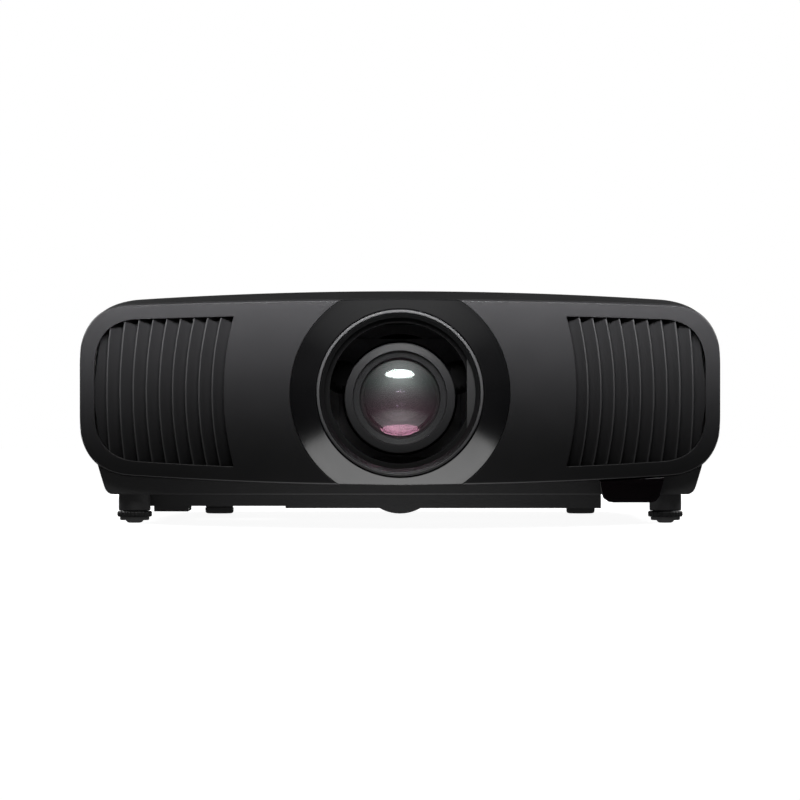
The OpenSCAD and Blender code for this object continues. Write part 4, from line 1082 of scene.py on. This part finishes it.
ie = lathe("inner_element_glass", pi_, M["third_glass"], "lens_body", seg=96, closed=False, slot="optical_glass", sharp=60, mats=[M["third_glass"], M["spot_glass"]])
for f in ie.data.polygons:
    if f.center.y > (yz + 1.45) * MM:
        f.material_index = 1
lathe("inner_element_ring", [(14.95, yz - 1.0), (15.6, yz - 1.6), (17.4, yz - 1.6), (17.9, yz - 1.0), (17.9, yz + 2.2), (14.95, yz + 2.2)], M["cell"], "lens_body", seg=96, slot="lens_black", fillet=0.3)

c_ = [(13.9 + 0.45 * math.cos(2 * math.pi * i / 16), yz - 2.2 + 0.45 * math.sin(2 * math.pi * i / 16)) for i in range(16)]
lathe("inner_element_circle", c_, M["plate"], "lens_body", seg=128, slot="ring_metal")

# ------------------------------------------------------------------ feet


def knurled_screw(s, nm):
    cx = s * 217.3
    verts, faces = [], []
    seg = 144
    rows = [(0.0, 4.9), (13.0, 4.9), (13.6, 5.15), (14.1, 5.7), (14.2, 6.2), (14.2, 8.3), (14.1, 8.9), (13.6, 9.4), (13.0, 9.6), (5.6, 9.6), (5.0, 9.9)]
    z = 10.4
    while z < 46:
        rows += [(5.0, z), (4.75, z + 0.6), (4.75, z + 1.2), (5.0, z + 1.7)]
        z += 3.0
    rows += [(4.2, 48.0), (0.0, 48.0)]
    kn = lambda r, j: r - (0.5 if r > 13.5 and (j % 6) in (0, 1) else 0.0)
    idx = []
    for r, h in rows:
        if r == 0:
            idx.append([len(verts)] * seg)
            verts.append((cx, -176.0, h))
        else:
            idx.append(list(range(len(verts), len(verts) + seg)))
            for j in range(seg):
                a = 2 * math.pi * j / seg
                rr_ = kn(r, j)
                verts.append((cx + rr_ * math.cos(a), -176.0 + rr_ * math.sin(a), h))
    for a, b in zip(idx[:-1], idx[1:]):
        for j in range(seg):
            k = (j + 1) % seg
            g = []
            for q in (a[j], a[k], b[k], b[j]):
                if q not in g:
                    g.append(q)
            if len(g) > 2:
                faces.append(g)
    build("foot_screw_%s_knurled" % nm, verts, faces, M["black"], "%s_screw" % nm, replaces=("foot_screw_%s" % nm,), slot="black_plastic", sharp=38)
    lathe("foot_pad_%s_rubber" % nm, [(0, 0), (4.6, 0.0), (5.8, 0.35), (6.7, 1.1), (7.3, 2.0), (11.2, 2.15), (11.8, 2.5), (12.0, 3.2), (12.0, 4.75), (3.0, 4.8), (3.0, 8.5), (0, 8.5)],
          M["rubber"], "%s_pad" % nm, axis="z", cx=cx, cy=-176.0, seg=96, closed=False, replaces=("foot_pad_%s" % nm,), slot="rubber", sharp=50)
    # sleeve that the screw turns in, part of the lower case
    lathe("foot_sleeve_%s" % nm, [(5.15, 9.9), (12.0, 9.9), (12.7, 10.2), (13.0, 10.9), (13.0, 24.9), (9.0, 24.9), (9.0, 53.2), (8.4, 53.9), (0, 54.0), (0, 51.0), (5.15, 51.0)],
          M["shell"], "housing", axis="z", cx=cx, cy=-176.0, seg=96, closed=False, slot="shell_plastic", sharp=50)


for s, nm in ((-1, "left"), (1, "right")):
    knurled_screw(s, nm)
for s, nm in ((-1, "left"), (1, "right")):
    zt = 11.6 if s > 0 else 13.4
    lathe("rear_foot_%s" % nm, [(0, 0), (10.2, 0), (11.4, 0.3), (12.2, 1.1), (12.55, 2.4), (12.6, 5.0), (12.0, 5.4), (12.0, zt), (0, zt)], M["rubber"], "housing", axis="z",
          cx=s * 160.0, cy=158.0, seg=96, closed=False, replaces=("rear_feet",) if s < 0 else (), slot="rubber", sharp=50)

# ------------------------------------------------------------------ carried-over CAD pieces

FINISH = {
    "panel": [], "window": ["ir_window"], "dark": ["shutter_frame", "lens_shroud", "optics_housing"], "leaf": ["shutter_leaf_front", "shutter_leaf_rear"],
    "cell_dark": ["lens_barrel"], "steel": ["small_motors", "lens_motors", "shift_screw_x", "shift_screw_z"], "plate": ["signal_sockets"], "screw": ["screws"],
    "alloy": ["shift_base", "shift_x_carriage", "shift_z_carriage", "laser_module"], "fin": ["heat_sink"],
    "gear": ["focus_ring", "zoom_ring", "focus_pinion", "zoom_pinion", "shutter_pinion"],
    "board": ["power_board", "main_board", "key_board"], "phosphor": ["phosphor_wheel"], "paper": ["air_filter"],
    "key": ["control_bezel", "key_power", "key_menu", "key_escape", "key_enter", "key_up", "key_down", "key_left", "key_right"],
    "black": ["fan_frames", "intake_fan_rotor", "exhaust_fan_rotor"], "rear": ["rear_panel"], "socket": ["power_inlet"],
    "shell": ["base_plinth", "filter_tray"], "optic": ["rear_elements", "light_optics"],
}
BEVEL = {"ir_window": 0.9, "base_plinth": 0.9, "filter_tray": 0.8, "control_bezel": 0.5, "rear_panel": 0.35, "power_inlet": 0.5, "signal_sockets": 0.15,
         "key_enter": 0.0, "focus_ring": 0.12, "zoom_ring": 0.12, "focus_pinion": 0.1, "zoom_pinion": 0.1, "shutter_pinion": 0.06, "heat_sink": 0.2, "screws": 0.2}
for key, names in FINISH.items():
    for n in names:
        o = nodes[n]
        for i in range(len(o.material_slots)):
            o.material_slots[i].material = M[key]
        if not o.material_slots:
            o.data.materials.append(M[key])
        w = o.modifiers.new("weld", "WELD")
        w.merge_threshold = 1e-6
        bw = BEVEL.get(n, 0.4)
        if bw > 0:
            b = o.modifiers.new("bevel", "BEVEL")
            b.width = bw * MM
            b.segments = 3
            b.limit_method = "ANGLE"
            b.angle_limit = math.radians(38)
            b.use_clamp_overlap = True
        w = o.modifiers.new("normals", "WEIGHTED_NORMAL")
        w.keep_sharp = False
        for f in o.data.polygons:
            f.use_smooth = True

# ------------------------------------------------------------------ stage, lights and camera

scene = bpy.context.scene
scene.view_settings.view_transform = "Standard"
scene.view_settings.look = "None"
scene.view_settings.exposure = 0.0
scene.cycles.transparent_max_bounces = 24


def area(name, loc, target, size, power, color=(1, 1, 1), size_y=None):
    l = bpy.data.lights.new(name, "AREA")
    l.shape = "RECTANGLE"
    l.size = size
    l.size_y = size_y or size
    l.energy = power
    l.color = color
    o = bpy.data.objects.new(name, l)
    scene.collection.objects.link(o)
    o.location = loc
    d = Vector(target) - Vector(loc)
    o.rotation_euler = d.to_track_quat("-Z", "Y").to_euler()
    o.visible_camera = False
    return o


near = area("strip_near", (0.0, -0.42, 0.262), (0.0, -0.22, 0.194), 0.72, 2.3, size_y=0.04)
near.data.spread = math.radians(56)
near.visible_glossy = False
wide = area("strip_wide", (0.0, -0.36, 0.66), (0.0, -0.20, 0.08), 2.0, 7.5, size_y=0.26)
wide.visible_diffuse = False
box = area("lens_box", (0.0, -1.05, 0.74), (0.0, -0.18, 0.102), 0.80, 6.5, size_y=0.25)
box.visible_diffuse = False
box.data.shape = "ELLIPSE"
for s, nm in ((-1, "left"), (1, "right")):
    area("corner_" + nm, (s * 0.62, 0.12, 0.42), (s * 0.24, -0.12, 0.18), 0.22, 2.9, size_y=0.30)
area("rear_fill", (0.0, 1.05, 0.085), (0.0, 0.22, 0.085), 0.9, 2.5, size_y=0.12)

world = bpy.data.worlds.new("studio")
scene.world = world
world.use_nodes = True
wn, wl = world.node_tree.nodes, world.node_tree.links
wn.clear()
wo = wn.new("ShaderNodeOutputWorld")
wm = wn.new("ShaderNodeMixShader")
lp = wn.new("ShaderNodeLightPath")
b1 = wn.new("ShaderNodeBackground")
b2 = wn.new("ShaderNodeBackground")
b1.inputs[0].default_value = (0.020, 0.020, 0.022, 1)
b1.inputs[1].default_value = 1.0
b2.inputs[0].default_value = (1, 1, 1, 1)
b2.inputs[1].default_value = 1.0
wl.new(lp.outputs["Is Camera Ray"], wm.inputs[0])
wl.new(b1.outputs[0], wm.inputs[1])
wl.new(b2.outputs[0], wm.inputs[2])
wl.new(wm.outputs[0], wo.inputs[0])

# floor: a large pale sheet, a little rounded at its edge
fv, ff = [], []
R, n = 6000.0, 96
rings = [0, 400, 900, 2000, 4000, 5990, R]
fv.append((0, 0, 0))
for q in rings[1:]:
    for j in range(n):
        a = 2 * math.pi * j / n
        fv.append((q * math.cos(a), q * math.sin(a), -0.02 - (3.0 if q == R else 0)))
for j in range(n):
    ff.append((0, 1 + j, 1 + (j + 1) % n))
for i in range(len(rings) - 2):
    for j in range(n):
        k = (j + 1) % n
        ff.append((1 + i * n + j, 1 + i * n + k, 1 + (i + 1) * n + k, 1 + (i + 1) * n + j))
me = bpy.data.meshes.new("floor")
me.from_pydata([tuple(X(p, float) * MM) for p in fv], [], ff)
floor = bpy.data.objects.new("floor", me)
scene.collection.objects.link(floor)
fm, nt, out = new_mat("floor_pale")
N, L = nt.nodes, nt.links
df = N.new("ShaderNodeBsdfDiffuse")
df.inputs["Color"].default_value = (0.62, 0.62, 0.62, 1)
em = N.new("ShaderNodeEmission")
em.inputs["Color"].default_value = (1, 1, 1, 1)
tc = N.new("ShaderNodeTexCoord")
ln = N.new("ShaderNodeVectorMath")
ln.operation = "LENGTH"
L.new(tc.outputs["Object"], ln.inputs[0])
far = N.new("ShaderNodeMapRange")
far.inputs["From Min"].default_value = 0.35
far.inputs["From Max"].default_value = 0.95
far.inputs["To Min"].default_value = 0.93
far.inputs["To Max"].default_value = 1.0
L.new(ln.outputs["Value"], far.inputs["Value"])
L.new(far.outputs[0], em.inputs["Strength"])
dk = N.new("ShaderNodeBsdfDiffuse")
dk.inputs["Color"].default_value = (0.08, 0.08, 0.08, 1)
e2 = N.new("ShaderNodeEmission")
e2.inputs["Color"].default_value = (1, 1, 1, 1)
near_f = N.new("ShaderNodeMapRange")
near_f.inputs["From Min"].default_value = 0.03
near_f.inputs["From Max"].default_value = 0.46
near_f.inputs["To Min"].default_value = 0.8
near_f.inputs["To Max"].default_value = 0.03
sh = N.new("ShaderNodeVectorMath")
sh.operation = "ADD"
sh.inputs[1].default_value = (0.0, 0.24, 0.0)
sq = N.new("ShaderNodeVectorMath")
sq.operation = "MULTIPLY"
sq.inputs[1].default_value = (0.62, 0.8, 1.0)
l2 = N.new("ShaderNodeVectorMath")
l2.operation = "LENGTH"
L.new(tc.outputs["Object"], sh.inputs[0])
L.new(sh.outputs[0], sq.inputs[0])
L.new(sq.outputs[0], l2.inputs[0])
L.new(l2.outputs["Value"], near_f.inputs["Value"])
sq2 = N.new("ShaderNodeVectorMath")
sq2.operation = "MULTIPLY"
sq2.inputs[1].default_value = (1.25, 0.8, 1.0)
l3 = N.new("ShaderNodeVectorMath")
l3.operation = "LENGTH"
L.new(sh.outputs[0], sq2.inputs[0])
L.new(sq2.outputs[0], l3.inputs[0])
near_g = N.new("ShaderNodeMapRange")
near_g.inputs["From Min"].default_value = 0.05
near_g.inputs["From Max"].default_value = 0.26
near_g.inputs["To Min"].default_value = 0.8
near_g.inputs["To Max"].default_value = 0.015
L.new(l3.outputs["Value"], near_g.inputs["Value"])
pick = N.new("ShaderNodeMix")
pick.data_type = "FLOAT"
lp3 = N.new("ShaderNodeLightPath")
L.new(lp3.outputs["Is Glossy Ray"], pick.inputs[0])
L.new(near_f.outputs[0], pick.inputs[2])
L.new(near_g.outputs[0], pick.inputs[3])
L.new(pick.outputs[0], e2.inputs["Strength"])
a2 = N.new("ShaderNodeAddShader")
L.new(dk.outputs[0], a2.inputs[0])
L.new(e2.outputs[0], a2.inputs[1])
ad = N.new("ShaderNodeAddShader")
mx = N.new("ShaderNodeMixShader")
lp2 = N.new("ShaderNodeLightPath")
L.new(df.outputs[0], ad.inputs[0])
L.new(em.outputs[0], ad.inputs[1])
L.new(lp2.outputs["Is Camera Ray"], mx.inputs[0])
L.new(a2.outputs[0], mx.inputs[1])
L.new(ad.outputs[0], mx.inputs[2])
L.new(mx.outputs[0], out.inputs[0])
me.materials.append(fm)
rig.stage(floor)

cam = bpy.data.cameras.new("camera")
cam.lens = 222.4
cam.sensor_width = 36.0
cam.clip_end = 50.0
co = bpy.data.objects.new("camera", cam)
scene.collection.objects.link(co)
co.location = (0.0, -4.2235, 0.1004)
co.rotation_euler = (math.pi / 2, 0.0, 0.0)
scene.camera = co

bpy.context.view_layer.update()
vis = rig.bounds()
as_list = lambda b: [[float(c) for c in p] for p in b]
json.dump({"cad": as_list(cad_box), "visual": as_list(vis)}, open("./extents.json", "w"))
